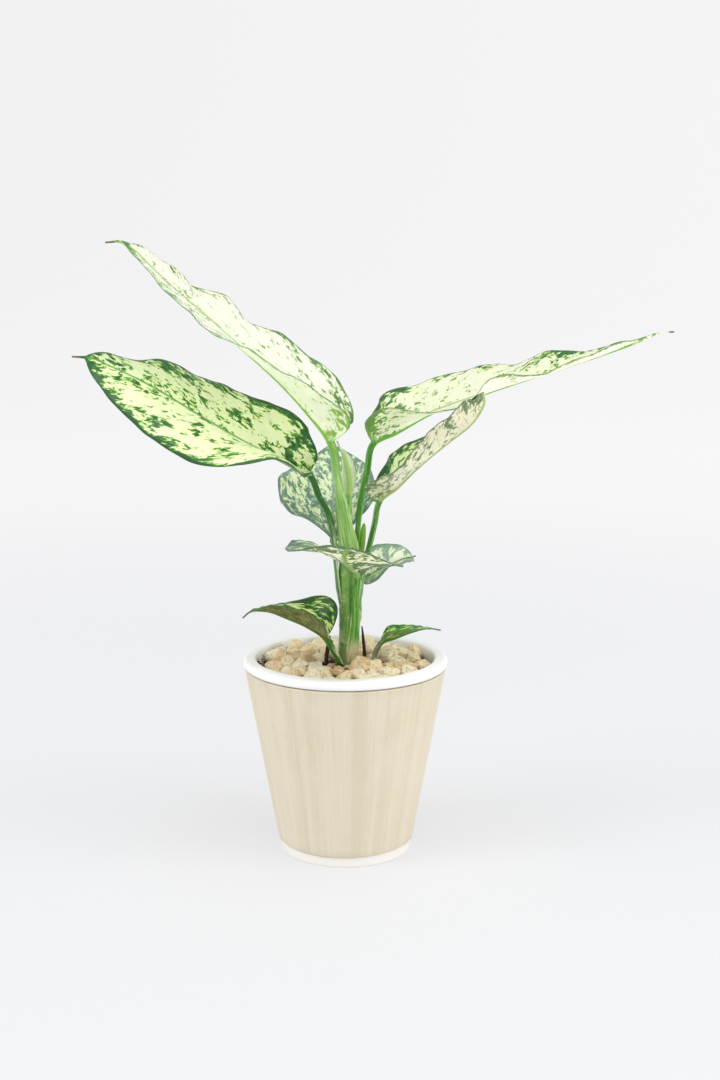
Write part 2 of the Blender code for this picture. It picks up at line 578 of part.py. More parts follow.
def rod(name, points, radii, home, resolution=3):
    """A smooth round rod through points, with its own radius at each, welded shut."""
    data = bpy.data.curves.new(name, "CURVE")
    data.dimensions = "3D"
    data.bevel_depth = 1.0
    data.bevel_resolution = resolution
    data.use_fill_caps = True
    line = data.splines.new("POLY")
    line.points.add(len(points) - 1)
    for spot, place, radius in zip(line.points, points, radii):
        spot.co = (*place, 1.0)
        spot.radius = radius
    curve = bpy.data.objects.new(name + "_curve", data)
    home.objects.link(curve)
    bpy.context.view_layer.update()
    mesh = bpy.data.meshes.new_from_object(curve.evaluated_get(bpy.context.evaluated_depsgraph_get()))
    shape = bmesh.new()
    shape.from_mesh(mesh)
    bmesh.ops.remove_doubles(shape, verts=shape.verts, dist=MERGE)
    bmesh.ops.recalc_face_normals(shape, faces=shape.faces)
    shape.to_mesh(mesh)
    shape.free()
    mesh.shade_smooth()
    mesh.set_sharp_from_angle(angle=math.radians(50))
    made = bpy.data.objects.new(name, mesh)
    made.matrix_world = curve.matrix_world
    home.objects.link(made)
    bpy.data.objects.remove(curve, do_unlink=True)
    return made


def build_stem(home):
    """The cane, thickest where the sheaths wrap it, from the soil to its growing tip."""
    line = np.array(STEM_LINE, float)
    spots = np.linspace(line[0, 1], line[-1, 1], 20)
    across = smooth_through(line[:, 1], line[:, 0], spots)
    radii = smooth_through(line[:, 1], line[:, 2], spots)
    points = [(x * MM, 0.0, z * MM) for x, z in zip(across, spots)]
    stem = rod("stem", points, radii * MM, home)
    paint(stem, "stem")
    return stem


def build_dried_sheaths(home):
    """Two thin withered sheaths that stand in the gravel beside the stem."""
    for name, line, half in DRIED_SHEATHS:
        line = np.array(line, float)
        spots = np.linspace(0.0, 1.0, 8)
        points = even_keys(line, spots)
        radii = half * (1.0 - 0.65 * spots ** 2) * MM
        made = rod(name, (points * MM).tolist(), radii, home, resolution=1)
        paint(made, "dried_sheath")


def main():
    clear_scene()
    plant = new_collection("potted_chinese_evergreen")
    cutting = new_collection("cutters")
    build_inner_pot(plant, cutting)
    build_sleeve(plant)
    build_soil(plant, cutting)
    build_gravel(plant, cutting)
    build_stem(plant)
    for leaf in LEAVES:
        build_leaf(leaf, plant)
    build_dried_sheaths(plant)


main()
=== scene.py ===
"""Looks of the potted chinese evergreen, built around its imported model.

Every surface is worked out with numpy on a grid of two parameters, in millimetres, and
put into a mesh in metres. The leaves carry their own coordinates (along and across the
blade, and the distance from the margin) as attributes, so the cream and green markings
follow the veins.
"""

import logging
import math
import random
from dataclasses import dataclass
from enum import Enum
from functools import reduce
from typing import Iterable, Optional, Sequence

import bmesh
import bpy
import numpy as np
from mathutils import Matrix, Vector


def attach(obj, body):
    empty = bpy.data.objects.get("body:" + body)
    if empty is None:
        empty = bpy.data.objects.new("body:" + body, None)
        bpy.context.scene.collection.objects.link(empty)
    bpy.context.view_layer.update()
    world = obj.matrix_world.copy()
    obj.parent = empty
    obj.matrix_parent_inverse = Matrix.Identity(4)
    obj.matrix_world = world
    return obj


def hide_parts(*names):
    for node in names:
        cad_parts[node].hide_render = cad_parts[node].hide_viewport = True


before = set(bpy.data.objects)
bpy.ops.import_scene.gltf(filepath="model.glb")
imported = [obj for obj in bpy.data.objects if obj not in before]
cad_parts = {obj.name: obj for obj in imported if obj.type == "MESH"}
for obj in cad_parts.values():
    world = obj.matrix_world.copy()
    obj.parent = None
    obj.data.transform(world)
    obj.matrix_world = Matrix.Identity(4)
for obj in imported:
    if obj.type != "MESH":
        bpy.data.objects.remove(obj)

MM = 0.001
BODY = "root"
GRAIN_ATTRIBUTE = "grain"
BLADE_ATTRIBUTE = "blade"
ZONE_ATTRIBUTE = "zone"

# A side vein's slant towards the tip for each millimetre out, and how fast the slant grows
VEIN_SLANT = 0.45
VEIN_CURVE = 0.02

# Turn from one stone to the next in a sunflower's spiral
GOLDEN_TURN = math.pi * (3.0 - math.sqrt(5.0))

Colour = tuple[float, float, float]
Point = tuple[float, float, float]
Socket = bpy.types.NodeSocket
Sockets = bpy.types.NodeOutputs
Sections = dict[str, np.ndarray]
Faces = list[Sequence[int]]
Stone = tuple[np.ndarray, float, np.ndarray]

log = logging.getLogger("evergreen")


class Slot(Enum):
    """Material slots of the record."""

    POT = "white_pot"
    WOOD = "sleeve_wood"
    SOIL = "soil"
    STONE = "pumice"
    STEM = "stem_green"
    LEAF = "leaf_variegated"
    SHEATH = "sheath_pale"
    DRY = "sheath_dry"


class Effect(Enum):
    """Node groups that more than one material uses."""

    MOTTLE = "uneven_tone"
    FIBRE = "long_fibres"
    MARKING = "blade_marking"


class Half(Enum):
    """The two halves of a blade, seen from its foot looking towards its tip."""

    LEFT = -1
    RIGHT = 1


def srgb(red: int, green: int, blue: int) -> Colour:
    """Linear colour of a screen colour.

    Args:
        red, green, blue: the colour's values from 0 to 255.

    Returns:
        The same colour in linear light, from 0 to 1.
    """
    values = np.array((red, green, blue)) / 255.0
    linear = np.where(values <= 0.04045, values / 12.92, ((values + 0.055) / 1.055) ** 2.4)
    return tuple(float(v) for v in linear)


def shades(*colours: tuple[int, int, int]) -> tuple[Colour, ...]:
    """Linear colours of several screen colours."""
    return tuple(srgb(*colour) for colour in colours)


def unit(vectors: np.ndarray) -> np.ndarray:
    """Vectors scaled to length one."""
    return vectors / np.linalg.norm(vectors, axis=-1, keepdims=True)


def ease(share: np.ndarray) -> np.ndarray:
    """Smooth step from 0 to 1: three times the square less twice the cube."""
    share = np.clip(share, 0.0, 1.0)
    return share * share * (3.0 - 2.0 * share)


def smooth_through(keys: Sequence[float], values: np.ndarray, at: np.ndarray) -> np.ndarray:
    """Cubic curve through values at keys, each slope taken from its two neighbours.

    Args:
        keys: rising places of the values.
        values: one value or one point for each key.
        at: places to work out.

    Returns:
        The curve's value or point at each place.
    """
    keys = np.asarray(keys, float)
    values = np.asarray(values, float)
    at = np.clip(np.asarray(at, float), keys[0], keys[-1])
    slopes = np.gradient(values, keys, axis=0)
    index = np.clip(np.searchsorted(keys, at, side="right") - 1, 0, len(keys) - 2)
    span = keys[index + 1] - keys[index]
    share = (at - keys[index]) / span
    if values.ndim == 2:
        share, span = share[:, None], span[:, None]
    first = (1 + 2 * share) * (1 - share) ** 2 * values[index]
    second = share**2 * (3 - 2 * share) * values[index + 1]
    leaving = share * (1 - share) ** 2 * span * slopes[index]
    arriving = share**2 * (share - 1) * span * slopes[index + 1]
    return first + second + (leaving + arriving)


def even_keys(values: Sequence[float], at: np.ndarray) -> np.ndarray:
    """The same curve through values at even steps from 0 to 1."""
    return smooth_through(np.linspace(0.0, 1.0, len(values)), values, at)


def tube_faces(rows: int, columns: int) -> np.ndarray:
    """Quads between rings of points.

    Args:
        rows, columns: number of rings, and of points in a ring.

    Returns:
        The quads' corner numbers, one row for each.
    """
    row, column = np.meshgrid(np.arange(rows - 1), np.arange(columns), indexing="ij")
    low, after = row * columns, (column + 1) % columns
    quads = (low + column, low + after, low + columns + after, low + columns + column)
    return np.stack([q.ravel() for q in quads], axis=1)


def fan_faces(tip: int, start: int, columns: int, turned: bool = False) -> Faces:
    """Triangles between a tip and a ring of points.

    Args:
        tip: number of the tip.
        start: number of the ring's first point.
        columns: number of points in the ring.
        turned: whether the ring is followed backwards.

    Returns:
        The triangles' corner numbers.
    """
    faces = [(tip, start + i, start + (i + 1) % columns) for i in range(columns)]
    return [face[::-1] for face in faces] if turned else faces


def rod_faces(rows: int, columns: int, clockwise: bool = False) -> Faces:
    """Faces of a closed rod: quads between its rings and a flat face over each end.

    Args:
        rows, columns: number of rings, and of points in a ring.
        clockwise: whether a ring's points run clockwise, seen from beyond the last ring.

    Returns:
        The faces, facing out.
    """
    last = (rows - 1) * columns
    faces = tube_faces(rows, columns).tolist()
    faces += [list(range(columns))[::-1], list(range(last, last + columns))]
    return [face[::-1] for face in faces] if clockwise else faces


def ball_faces(count: int, rows: int, columns: int) -> Faces:
    """Faces of closed balls, whose grids from ball_grid follow one another.

    Args:
        count: number of balls.
        rows, columns: size of one grid; its first and last rows are the poles.

    Returns:
        Triangles at the poles and quads between, facing out.
    """
    last, size = (rows - 1) * columns, rows * columns
    one = tube_faces(rows, columns)[columns:-columns, ::-1].tolist()
    one += fan_faces(0, columns, columns) + fan_faces(last, last - columns, columns, turned=True)
    return [[ball * size + corner for corner in face] for ball in range(count) for face in one]


def ball_grid(rows: int, columns: int) -> tuple[np.ndarray, np.ndarray, np.ndarray]:
    """Directions all round, from pole to pole.

    Args:
        rows, columns: number of latitudes and of longitudes.

    Returns:
        The latitudes as a column, the longitudes as a row and the unit direction at each pair:
        (sin latitude cos longitude, sin latitude sin longitude, cos latitude).
    """
    down = np.linspace(0.0, math.pi, rows)[:, None]
    around = np.linspace(0.0, math.tau, columns, endpoint=False)[None, :]
    ball = (np.sin(down) * np.cos(around), np.sin(down) * np.sin(around), np.cos(down) + 0.0 * around)
    return down, around, np.stack(ball, axis=-1)


def spun(points: np.ndarray, angle: np.ndarray) -> np.ndarray:
    """Grids of points turned about Z: (x cos angle - y sin angle, x sin angle + y cos angle, z).

    Args:
        points: one grid for each angle.
        angle: the angles.

    Returns:
        The turned grids.
    """
    cos, sin = np.cos(angle)[:, None, None], np.sin(angle)[:, None, None]
    x, y = points[..., 0], points[..., 1]
    return np.stack((x * cos - y * sin, x * sin + y * cos, points[..., 2]), axis=-1)


def circles(profile: np.ndarray, steps: int) -> np.ndarray:
    """Rings about Z: each point is (radius cos angle, radius sin angle, height).

    Args:
        profile: radius and height of each ring.
        steps: number of points in a ring.

    Returns:
        The points, one ring after another.
    """
    angles = np.linspace(0.0, math.tau, steps, endpoint=False)
    radii, heights = profile[:, None, 0], np.repeat(profile[:, None, 1], steps, axis=1)
    return np.stack((radii * np.cos(angles), radii * np.sin(angles), heights), axis=-1).reshape(-1, 3)


def lathe(profile: np.ndarray, steps: int, closed_ring: bool = False) -> tuple[np.ndarray, Faces]:
    """Turns a profile about Z.

    Args:
        profile: radius and height of its points, up the outside and down the inside, so faces point out.
        steps: number of angles round the circle.
        closed_ring: whether the profile's end joins its start; otherwise both ends are on the axis.

    Returns:
        The points and the faces.
    """
    body = profile if closed_ring else profile[1:-1]
    top = (len(body) - 1) * steps
    points = circles(body, steps)
    faces = tube_faces(len(body), steps).tolist()
    if closed_ring:
        faces += [(top + i, top + (i + 1) % steps, (i + 1) % steps, i) for i in range(steps)]
        return points, faces
    low = len(points)
    faces += fan_faces(low, 0, steps, turned=True) + fan_faces(low + 1, top, steps)
    return np.concatenate((points, [[0.0, 0.0, z] for z in profile[[0, -1], 1]])), faces


def arc(centre: tuple[float, float], radius: float, start: float, end: float, count: int) -> np.ndarray:
    """Points of an arc in the profile's plane, angles in degrees."""
    angles = np.radians(np.linspace(start, end, count))
    return np.stack((centre[0] + radius * np.cos(angles), centre[1] + radius * np.sin(angles)), axis=1)


def rail(line: Sequence[Point], rows: int, guide: Point) -> tuple[np.ndarray, ...]:
    """Sections at even steps along a curve.

    Args:
        line: points that the curve runs through.
        rows: number of sections.
        guide: a direction that the sections' own side direction is square to.

    Returns:
        Each section's share of the way and centre, and the two directions across the curve.
    """
    share = np.linspace(0.0, 1.0, rows)
    centre = even_keys(np.array(line, float), share)
    ahead = unit(np.gradient(centre, axis=0))
    side = unit(np.cross(ahead, np.array(guide)))
    return share, centre, side, np.cross(side, ahead)


def carried(
    centre: np.ndarray, side: np.ndarray, away: np.ndarray, x: np.ndarray, y: np.ndarray
) -> np.ndarray:
    """A section carried along a path: each point is the centre plus x times side plus y times away."""
    return centre[:, None, :] + x[..., None] * side[:, None, :] + y[..., None] * away[:, None, :]


def drop_unused(thing: bpy.types.Object) -> None:
    """Removes the points of an object that no face uses.

    Args:
        thing: the object.
    """
    shape = bmesh.new()
    shape.from_mesh(thing.data)
    bmesh.ops.delete(shape, geom=[v for v in shape.verts if not v.link_faces], context="VERTS")
    shape.to_mesh(thing.data)
    shape.free()


def put_mesh(
    name: str,
    points: np.ndarray,
    faces: Iterable[Sequence[int]],
    attributes: Optional[dict[str, np.ndarray]] = None,
    sharp: Optional[float] = None,
) -> bpy.types.Object:
    """Puts points and faces into a new object at the origin.

    Args:
        name: the object's name.
        points: the points in millimetres.
        faces: corner numbers of each face.
        attributes: vectors for each point, by attribute name.
        sharp: angle in degrees past which an edge is shaded sharp, or None.

    Returns:
        The new object.
    """
    data = bpy.data.meshes.new(name)
    flat = np.asarray(points).reshape(-1, 3) * MM
    data.from_pydata(flat.tolist(), [], [tuple(map(int, face)) for face in faces])
    for key, values in (attributes or {}).items():
        layer = data.attributes.new(key, "FLOAT_VECTOR", "POINT")
        layer.data.foreach_set("vector", np.asarray(values, np.float32).ravel())
    data.update()
    data.shade_smooth()
    if sharp is not None:
        data.set_sharp_from_angle(angle=math.radians(sharp))
    made = bpy.data.objects.new(name, data)
    bpy.context.scene.collection.objects.link(made)
    return made


class Wiring:
    """Adds nodes to a material's or a group's tree and links them."""

    def __init__(self, tree: bpy.types.NodeTree) -> None:
        """Keeps the tree that is wired."""
        self.tree = tree

    def feed(self, node: bpy.types.Node, given: dict[object, object]) -> None:
        """Links a node's inputs to other sockets, or sets their values.

        Args:
            node: the node.
            given: sockets or plain values, by the input's name or number.
        """
        for key, value in given.items():
            socket = node.inputs[key]
            if isinstance(value, bpy.types.NodeSocket):
                self.tree.links.new(value, socket)
            elif socket.type == "RGBA":
                socket.default_value = (*value, 1.0)
            else:
                socket.default_value = value

    def node(self, kind: str, given: dict[object, object], **settings: object) -> bpy.types.Node:
        """Adds a node.

        Args:
            kind: the node's type, without the words ShaderNode.
            given: what its inputs get, by name or number.
            settings: its own settings.

        Returns:
            The new node.
        """
        made = self.tree.nodes.new("ShaderNode" + kind)
        for key, value in settings.items():
            setattr(made, key, value)
        self.feed(made, given)
        return made

    def math(self, kind: str, *values: object) -> Socket:
        """A Math node's result."""
        return self.node("Math", dict(enumerate(values)), operation=kind).outputs[0]

    def times(self, first: object, second: object) -> Socket:
        """The product of two numbers."""
        return self.math("MULTIPLY", first, second)

    def plus(self, start: object, value: object, by: object) -> Socket:
        """A start, plus a value times a number."""
        return self.math("MULTIPLY_ADD", value, by, start)

    def size(self, value: object) -> Socket:
        """A number without its sign."""
        return self.math("ABSOLUTE", value)

    def mix(self, share: object, first: object, second: object, blend: str = "MIX") -> Socket:
        """A colour between two, by a share."""
        given = {"Factor": share, 6: first, 7: second}
        return self.node("Mix", given, data_type="RGBA", blend_type=blend).outputs[2]

    def over(self, under: object, colour: object, mask: object, share: object = None) -> Socket:
        """A colour laid over another where a mask is, in full or by a share of it."""
        return self.mix(mask if share is None else self.times(mask, share), under, colour)

    def coats(self, under: object, *coats: tuple) -> Socket:
        """Colours laid over one another; each coat is a colour, its mask and perhaps a share."""
        return reduce(lambda below, coat: self.over(below, *coat), coats, under)

    def step(self, value: object, low: object, high: object) -> Socket:
        """Smooth step of a value between two limits."""
        given = {"Value": value, "From Min": low, "From Max": high}
        return self.node("MapRange", given, interpolation_type="SMOOTHSTEP").outputs[0]

    def remap(self, value: object, low: float, high: float, to_low: float, to_high: float) -> Socket:
        """A value carried from one range to another."""
        given = {"Value": value, "From Min": low, "From Max": high, "To Min": to_low, "To Max": to_high}
        return self.node("MapRange", given).outputs[0]

    def parts(self, vector: Socket) -> tuple[Socket, Socket, Socket]:
        """The three numbers of a vector."""
        return tuple(self.node("SeparateXYZ", {0: vector}).outputs)

    def vector(self, *numbers: object) -> Socket:
        """A vector of three numbers."""
        return self.node("CombineXYZ", dict(enumerate(numbers))).outputs[0]

    def scaled(self, vector: Socket, *scale: float) -> Socket:
        """A vector scaled along each axis."""
        return self.node("Mapping", {"Vector": vector, "Scale": scale}).outputs[0]

    def attribute(self, name: str) -> Socket:
        """A surface attribute's vector."""
        return self.node("Attribute", {}, attribute_name=name).outputs["Vector"]

    def place(self) -> Socket:
        """Object coordinates in metres."""
        return self.node("TexCoord", {}).outputs["Object"]

    def noise(
        self, at: Socket, scale: float, detail: float = 2.0, rough: float = 0.5, twist: float = 0.0
    ) -> Socket:
        """Cloudy noise from 0 to 1."""
        given = {"Vector": at, "Scale": scale, "Detail": detail, "Roughness": rough, "Distortion": twist}
        return self.node("TexNoise", given).outputs[0]

    def cells(self, vector: Socket, scale: float) -> Socket:
        """Distance to the nearest of scattered points."""
        return self.node("TexVoronoi", {"Vector": vector, "Scale": scale}).outputs["Distance"]

    def bump(self, height: Socket, strength: float, distance: float) -> Socket:
        """A normal tilted by a height."""
        return self.node("Bump", {"Height": height, "Strength": strength, "Distance": distance}).outputs[0]

    def group(self, effect: Effect, **given: object) -> Sockets:
        """The results of a shared effect that is placed with its own values."""
        return self.node("Group", given, node_tree=bpy.data.node_groups[effect.value]).outputs


def new_group(effect: Effect, place: str, numbers: Sequence[str], results: Sequence[str]) -> tuple:
    """A shader node group with one vector and some numbers in, and numbers out.

    Args:
        effect: what it is for.
        place: name of the vector that comes in.
        numbers: names of the numbers that come in.
        results: names of the numbers that go out.

    Returns:
        The group's wiring, the sockets that come in and the node that takes the results.
    """
    tree = bpy.data.node_groups.new(effect.value, "ShaderNodeTree")
    tree.interface.new_socket(name=place, in_out="INPUT", socket_type="NodeSocketVector")
    for side, names in (("INPUT", numbers), ("OUTPUT", results)):
        for key in names:
            tree.interface.new_socket(name=key, in_out=side, socket_type="NodeSocketFloat")
    return Wiring(tree), tree.nodes.new("NodeGroupInput").outputs, tree.nodes.new("NodeGroupOutput")


def new_material(name: str) -> tuple[bpy.types.Material, Wiring, bpy.types.Node]:
    """A material with its wiring and its Principled shader.

    Args:
        name: the material's name.

    Returns:
        The material, the wiring and the shader.
    """
    made = bpy.data.materials.new(name)
    made.use_nodes = True
    return made, Wiring(made.node_tree), made.node_tree.nodes["Principled BSDF"]


def dress(thing: bpy.types.Object, look: bpy.types.Material, slot: Slot, *nodes: str) -> None:
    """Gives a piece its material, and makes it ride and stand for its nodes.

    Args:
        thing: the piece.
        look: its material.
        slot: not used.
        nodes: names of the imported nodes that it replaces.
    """
    thing.data.materials.clear()
    thing.data.materials.append(look)
    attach(thing, BODY)
    if nodes:
        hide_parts(*nodes)
    log.info("%s: %d faces", thing.name, len(thing.data.polygons))


class SharedEffects:
    """Builds the shared node groups, each once."""

    def make(self) -> None:
        """Builds the groups."""
        self._mottle()
        self._fibre()
        self._marking()

    def _mottle(self) -> None:
        """A tone around 0.5 that is uneven at two sizes, and a fine height."""
        w, given, result = new_group(Effect.MOTTLE, "Place", ("Size",), ("Tone", "Height"))
        scale = w.math("DIVIDE", 1.0, given["Size"])
        sized = w.node("VectorMath", {0: given["Place"], "Scale": scale}, operation="SCALE").outputs[0]
        wide = w.noise(sized, 1.0, 3.0, 0.55, 0.3)
        fine = w.noise(sized, 7.0, 4.0, 0.6)
        w.feed(result, {"Tone": w.plus(w.times(wide, 0.65), fine, 0.35), "Height": fine})

    def _fibre(self) -> None:
        """Fine lines and broad bands along the third axis, from noise that is stretched along it."""
        w, given, result = new_group(Effect.FIBRE, "Place", ("Stretch",), ("Lines", "Bands"))
        x, y, z = w.parts(given["Place"])
        drawn = w.vector(x, y, w.math("DIVIDE", z, given["Stretch"]))
        lines, bands = w.noise(drawn, 2.6, 4.0, 0.65), w.noise(drawn, 0.35, 2.0, 0.5, 0.4)
        w.feed(result, {"Lines": lines, "Bands": bands})

    def _marking(self) -> None:
        """Cream and green marking of a blade, in millimetres along and across it.

        The vein number is the distance along less a part of the distance across and of its
        square, so it is the same all along a side vein. Blotches are noise that is a little
        longer across the veins than along them, roughened by finer noise, gathered by wide
        patches, and raised near the margin and the midrib and by the leaf's own amount. The
        sum is cut at three heights, for the halo, the green and the deep green. With them go
        thin lines along the side veins, the height between the veins and a fine grain.
        """
        numbers = ("Amount", "Seed", "Size", "Margin", "Edge", "Clump", "Rib")
        results = ("Halo", "Green", "Deep", "Lines", "Vein", "Cells")
        w, given, result = new_group(Effect.MARKING, "Blade", numbers, results)
        along, across, edge = w.parts(given["Blade"])
        off = w.size(across)
        vein = w.math("SUBTRACT", along, w.plus(w.times(off, VEIN_SLANT), w.times(off, off), VEIN_CURVE))
        side = w.plus(given["Seed"], w.math("SIGN", across), 17.0)
        wander = w.noise(w.vector(w.times(along, 0.12), w.times(across, 0.12), side), 1.0, 2.0)
        bent = w.plus(vein, wander, 6.0)

        def blotches(wide: float, long: float, shift: float, *kind: float) -> Socket:
            """Noise in blotches, so wide and so long in millimetres; the shift keeps each kind apart."""
            at = [w.math("DIVIDE", x, w.times(given["Size"], by)) for x, by in ((bent, wide), (off, long))]
            return w.noise(w.vector(*at, w.math("ADD", side, shift)), 1.0, *kind)

        def fading(distance: Socket, reach: object) -> Socket:
            """A share that falls off with a distance: e to the power of minus distance over reach."""
            return w.math("EXPONENT", w.times(w.math("DIVIDE", distance, reach), -1.0))

        blotch = blotches(3.1, 2.1, 0.0, 2.0, 0.6, 0.5)
        ragged = blotches(1.05, 0.85, 5.0, 2.0, 0.65)
        patch = blotches(8.5, 7.0, 9.0, 1.0)
        fine = w.plus(blotch, w.math("SUBTRACT", ragged, 0.5), 0.36)
        broad = w.plus(fine, w.math("SUBTRACT", patch, 0.5), given["Clump"])
        raised = w.plus(w.math("ADD", broad, given["Amount"]), fading(edge, given["Margin"]), given["Edge"])
        total = w.plus(raised, fading(off, 0.7), given["Rib"])
        wave = w.size(w.math("SINE", w.times(bent, math.pi / 5.2)))
        marks = {
            "Halo": w.step(total, 0.5, 0.565),
            "Green": w.step(total, 0.565, 0.595),
            "Deep": w.step(total, 0.64, 0.715),
            "Lines": w.times(w.step(wave, 0.16, 0.02), w.step(ragged, 0.4, 0.6)),
            "Vein": w.math("POWER", wave, 0.5),
            "Cells": w.noise(w.vector(along, across, side), 3.0, 2.0),
        }
        w.feed(result, marks)


@dataclass(frozen=True)
class LeafFinish:
    """Colours and markings of one leaf, top and underside, and of its stalk and sheath.

    The colours are those of the upper side's ground, halo, green and deep green, of the
    underside's ground and green, of the midrib above and below, and of the stalk, its pale
    streaks and the free edge of its sheath. Sizes are in millimetres. Through is the strength
    of a painted glow on the blade's underside, which stands in for light shining through it.
    """

    top: tuple[Colour, ...] = shades((240, 246, 208), (196, 230, 118), (96, 168, 62), (34, 98, 36))
    under: tuple[Colour, ...] = shades((244, 242, 214), (128, 150, 88))
    ribs: tuple[Colour, ...] = shades((96, 158, 66), (100, 170, 52))
    rod: tuple[Colour, ...] = shades((66, 142, 42), (118, 184, 74), (228, 238, 200))
    line: Colour = srgb(40, 96, 44)
    dry: Colour = srgb(112, 96, 66)
    paper: Colour = srgb(222, 206, 172)
    papery: float = 0.0
    seed: float = 0.0
    size: float = 1.0
    margin: float = 2.2
    edge: float = 0.2
    clump: float = 0.5
    rib_mark: float = 0.08
    lines: float = 0.45
    roughness: float = 0.36
    # Strength of the painted glow on the blade's underside, standing in for light shining through the leaf.
    through: float = 0.0
    shine: float = 0.45

    def _sheet(
        self, w: Wiring, blade: tuple[Socket, ...], mark: Sockets, tone: Socket, top: Socket
    ) -> Socket:
        """Colour of the blade on both sides, with its midrib and the line along its margin.

        Args:
            w: the material's wiring.
            blade: distance along, across and from the edge.
            mark: results of the marking group.
            tone: uneven tone.
            top: 1 on the upper side and 0 below.

        Returns:
            The colour.
        """
        off, edge = w.size(blade[1]), blade[2]
        broad = w.step(w.math("ADD", edge, off), 0.7, 2.4)
        ground, tint, green, deep = self.top
        upper = w.coats(
            ground,
            (tint, w.step(tone, 0.45, 0.65), 0.16),
            (tint, mark["Lines"], self.lines),
            (tint, mark["Halo"]),
            (green, mark["Green"]),
            (deep, mark["Deep"]),
            (self.ribs[0], w.step(off, 0.8, 0.3), w.times(broad, 0.85)),
        )
        pale, dull = self.under
        lower = w.coats(
            pale,
            (dull, mark["Lines"], self.lines),
            (dull, mark["Halo"], 0.3),
            (dull, mark["Green"], 0.85),
            (deep, mark["Deep"], 0.35),
            (self.ribs[1], w.step(off, 1.4, 0.7), broad),
        )
        dark = w.remap(broad, 0.0, 1.0, 0.25, 0.85)
        return w.over(w.mix(top, lower, upper), self.line, w.step(edge, 0.5, 0.12), dark)

    def _rod(self, w: Wiring, blade: tuple[Socket, ...], kind: Socket, top: Socket) -> Socket:
        """Colour of the stalk and the sheath: pale streaks and bloom, a pale edge and a papery foot.

        Args:
            w: the material's wiring.
            blade: distance along, across and from the edge.
            kind: how open the sheath is, as a negative number.
            top: 1 on the upper side and 0 below.

        Returns:
            The colour.
        """
        along, across, edge = blade
        stalk, streak, free_edge = self.rod
        fibre = w.noise(w.vector(w.times(along, 0.06), w.times(across, 1.3), top), 1.0, 3.0)
        bloom = w.noise(w.vector(w.times(along, 0.16), w.times(across, 0.7), top), 1.0, 3.0, 0.65)
        worn = w.times(w.step(kind, -0.02, -0.35), w.step(bloom, 0.36, 0.52))
        height = w.plus(w.parts(w.place())[2], bloom, 0.012)
        paper = w.step(height, self.papery + 0.006, self.papery)
        return w.coats(
            stalk,
            (streak, w.step(fibre, 0.42, 0.62)),
            (free_edge, w.step(bloom, 0.55, 0.7), 0.35),
            (free_edge, w.times(w.step(edge, 0.6, 0.2), worn), 0.7),
            (self.paper, paper, w.remap(fibre, 0.35, 0.65, 0.4, 1.0)),
        )

    def material(self, name: str) -> bpy.types.Material:
        """The leaf's material.

        Args:
            name: the leaf's name.

        Returns:
            A material whose markings follow the blade's own coordinates.
        """
        made, w, shader = new_material(name)
        blade = w.attribute(BLADE_ATTRIBUTE)
        kind, top, amount = w.parts(w.attribute(ZONE_ATTRIBUTE))
        places = w.parts(blade)
        mark = w.group(
            Effect.MARKING, Blade=blade, Amount=amount, Seed=self.seed, Size=self.size,
            Margin=self.margin, Edge=self.edge, Clump=self.clump, Rib=self.rib_mark,
        )
        tone = w.group(Effect.MOTTLE, Place=blade, Size=9.0)["Tone"]
        on_blade = w.step(kind, 0.25, 0.75)
        sheet, rod = self._sheet(w, places, mark, tone, top), self._rod(w, places, kind, top)
        whole = w.over(w.mix(on_blade, rod, sheet), self.dry, w.step(kind, 1.1, 1.6))
        shade = w.remap(tone, 0.3, 0.7, 0.92, 1.05)
        shaded = w.mix(1.0, whole, w.vector(shade, shade, shade), "MULTIPLY")
        # Painted glow: the underside of the blade emits a share of its own colour, set by through, as
        # painted light standing in for light shining through the leaf.
        underside = w.times(w.math("SUBTRACT", 1.0, top), on_blade)
        height = w.plus(w.times(mark["Vein"], w.step(kind, 0.2, 0.8)), mark["Cells"], 0.35)
        look = {
            "Base Color": shaded,
            "Emission Color": w.mix(w.times(underside, self.through), (0.0, 0.0, 0.0), shaded),
            "Emission Strength": 1.0,
            "Roughness": w.plus(self.roughness - 0.07, tone, 0.14),
            "Normal": w.bump(height, 0.35, 0.00012),
            "Specular IOR Level": self.shine,
            "Subsurface Weight": 0.4,
            "Subsurface Radius": (1.0, 1.1, 0.7),
            "Subsurface Scale": 0.0008,
        }
        w.feed(shader, look)
        return made


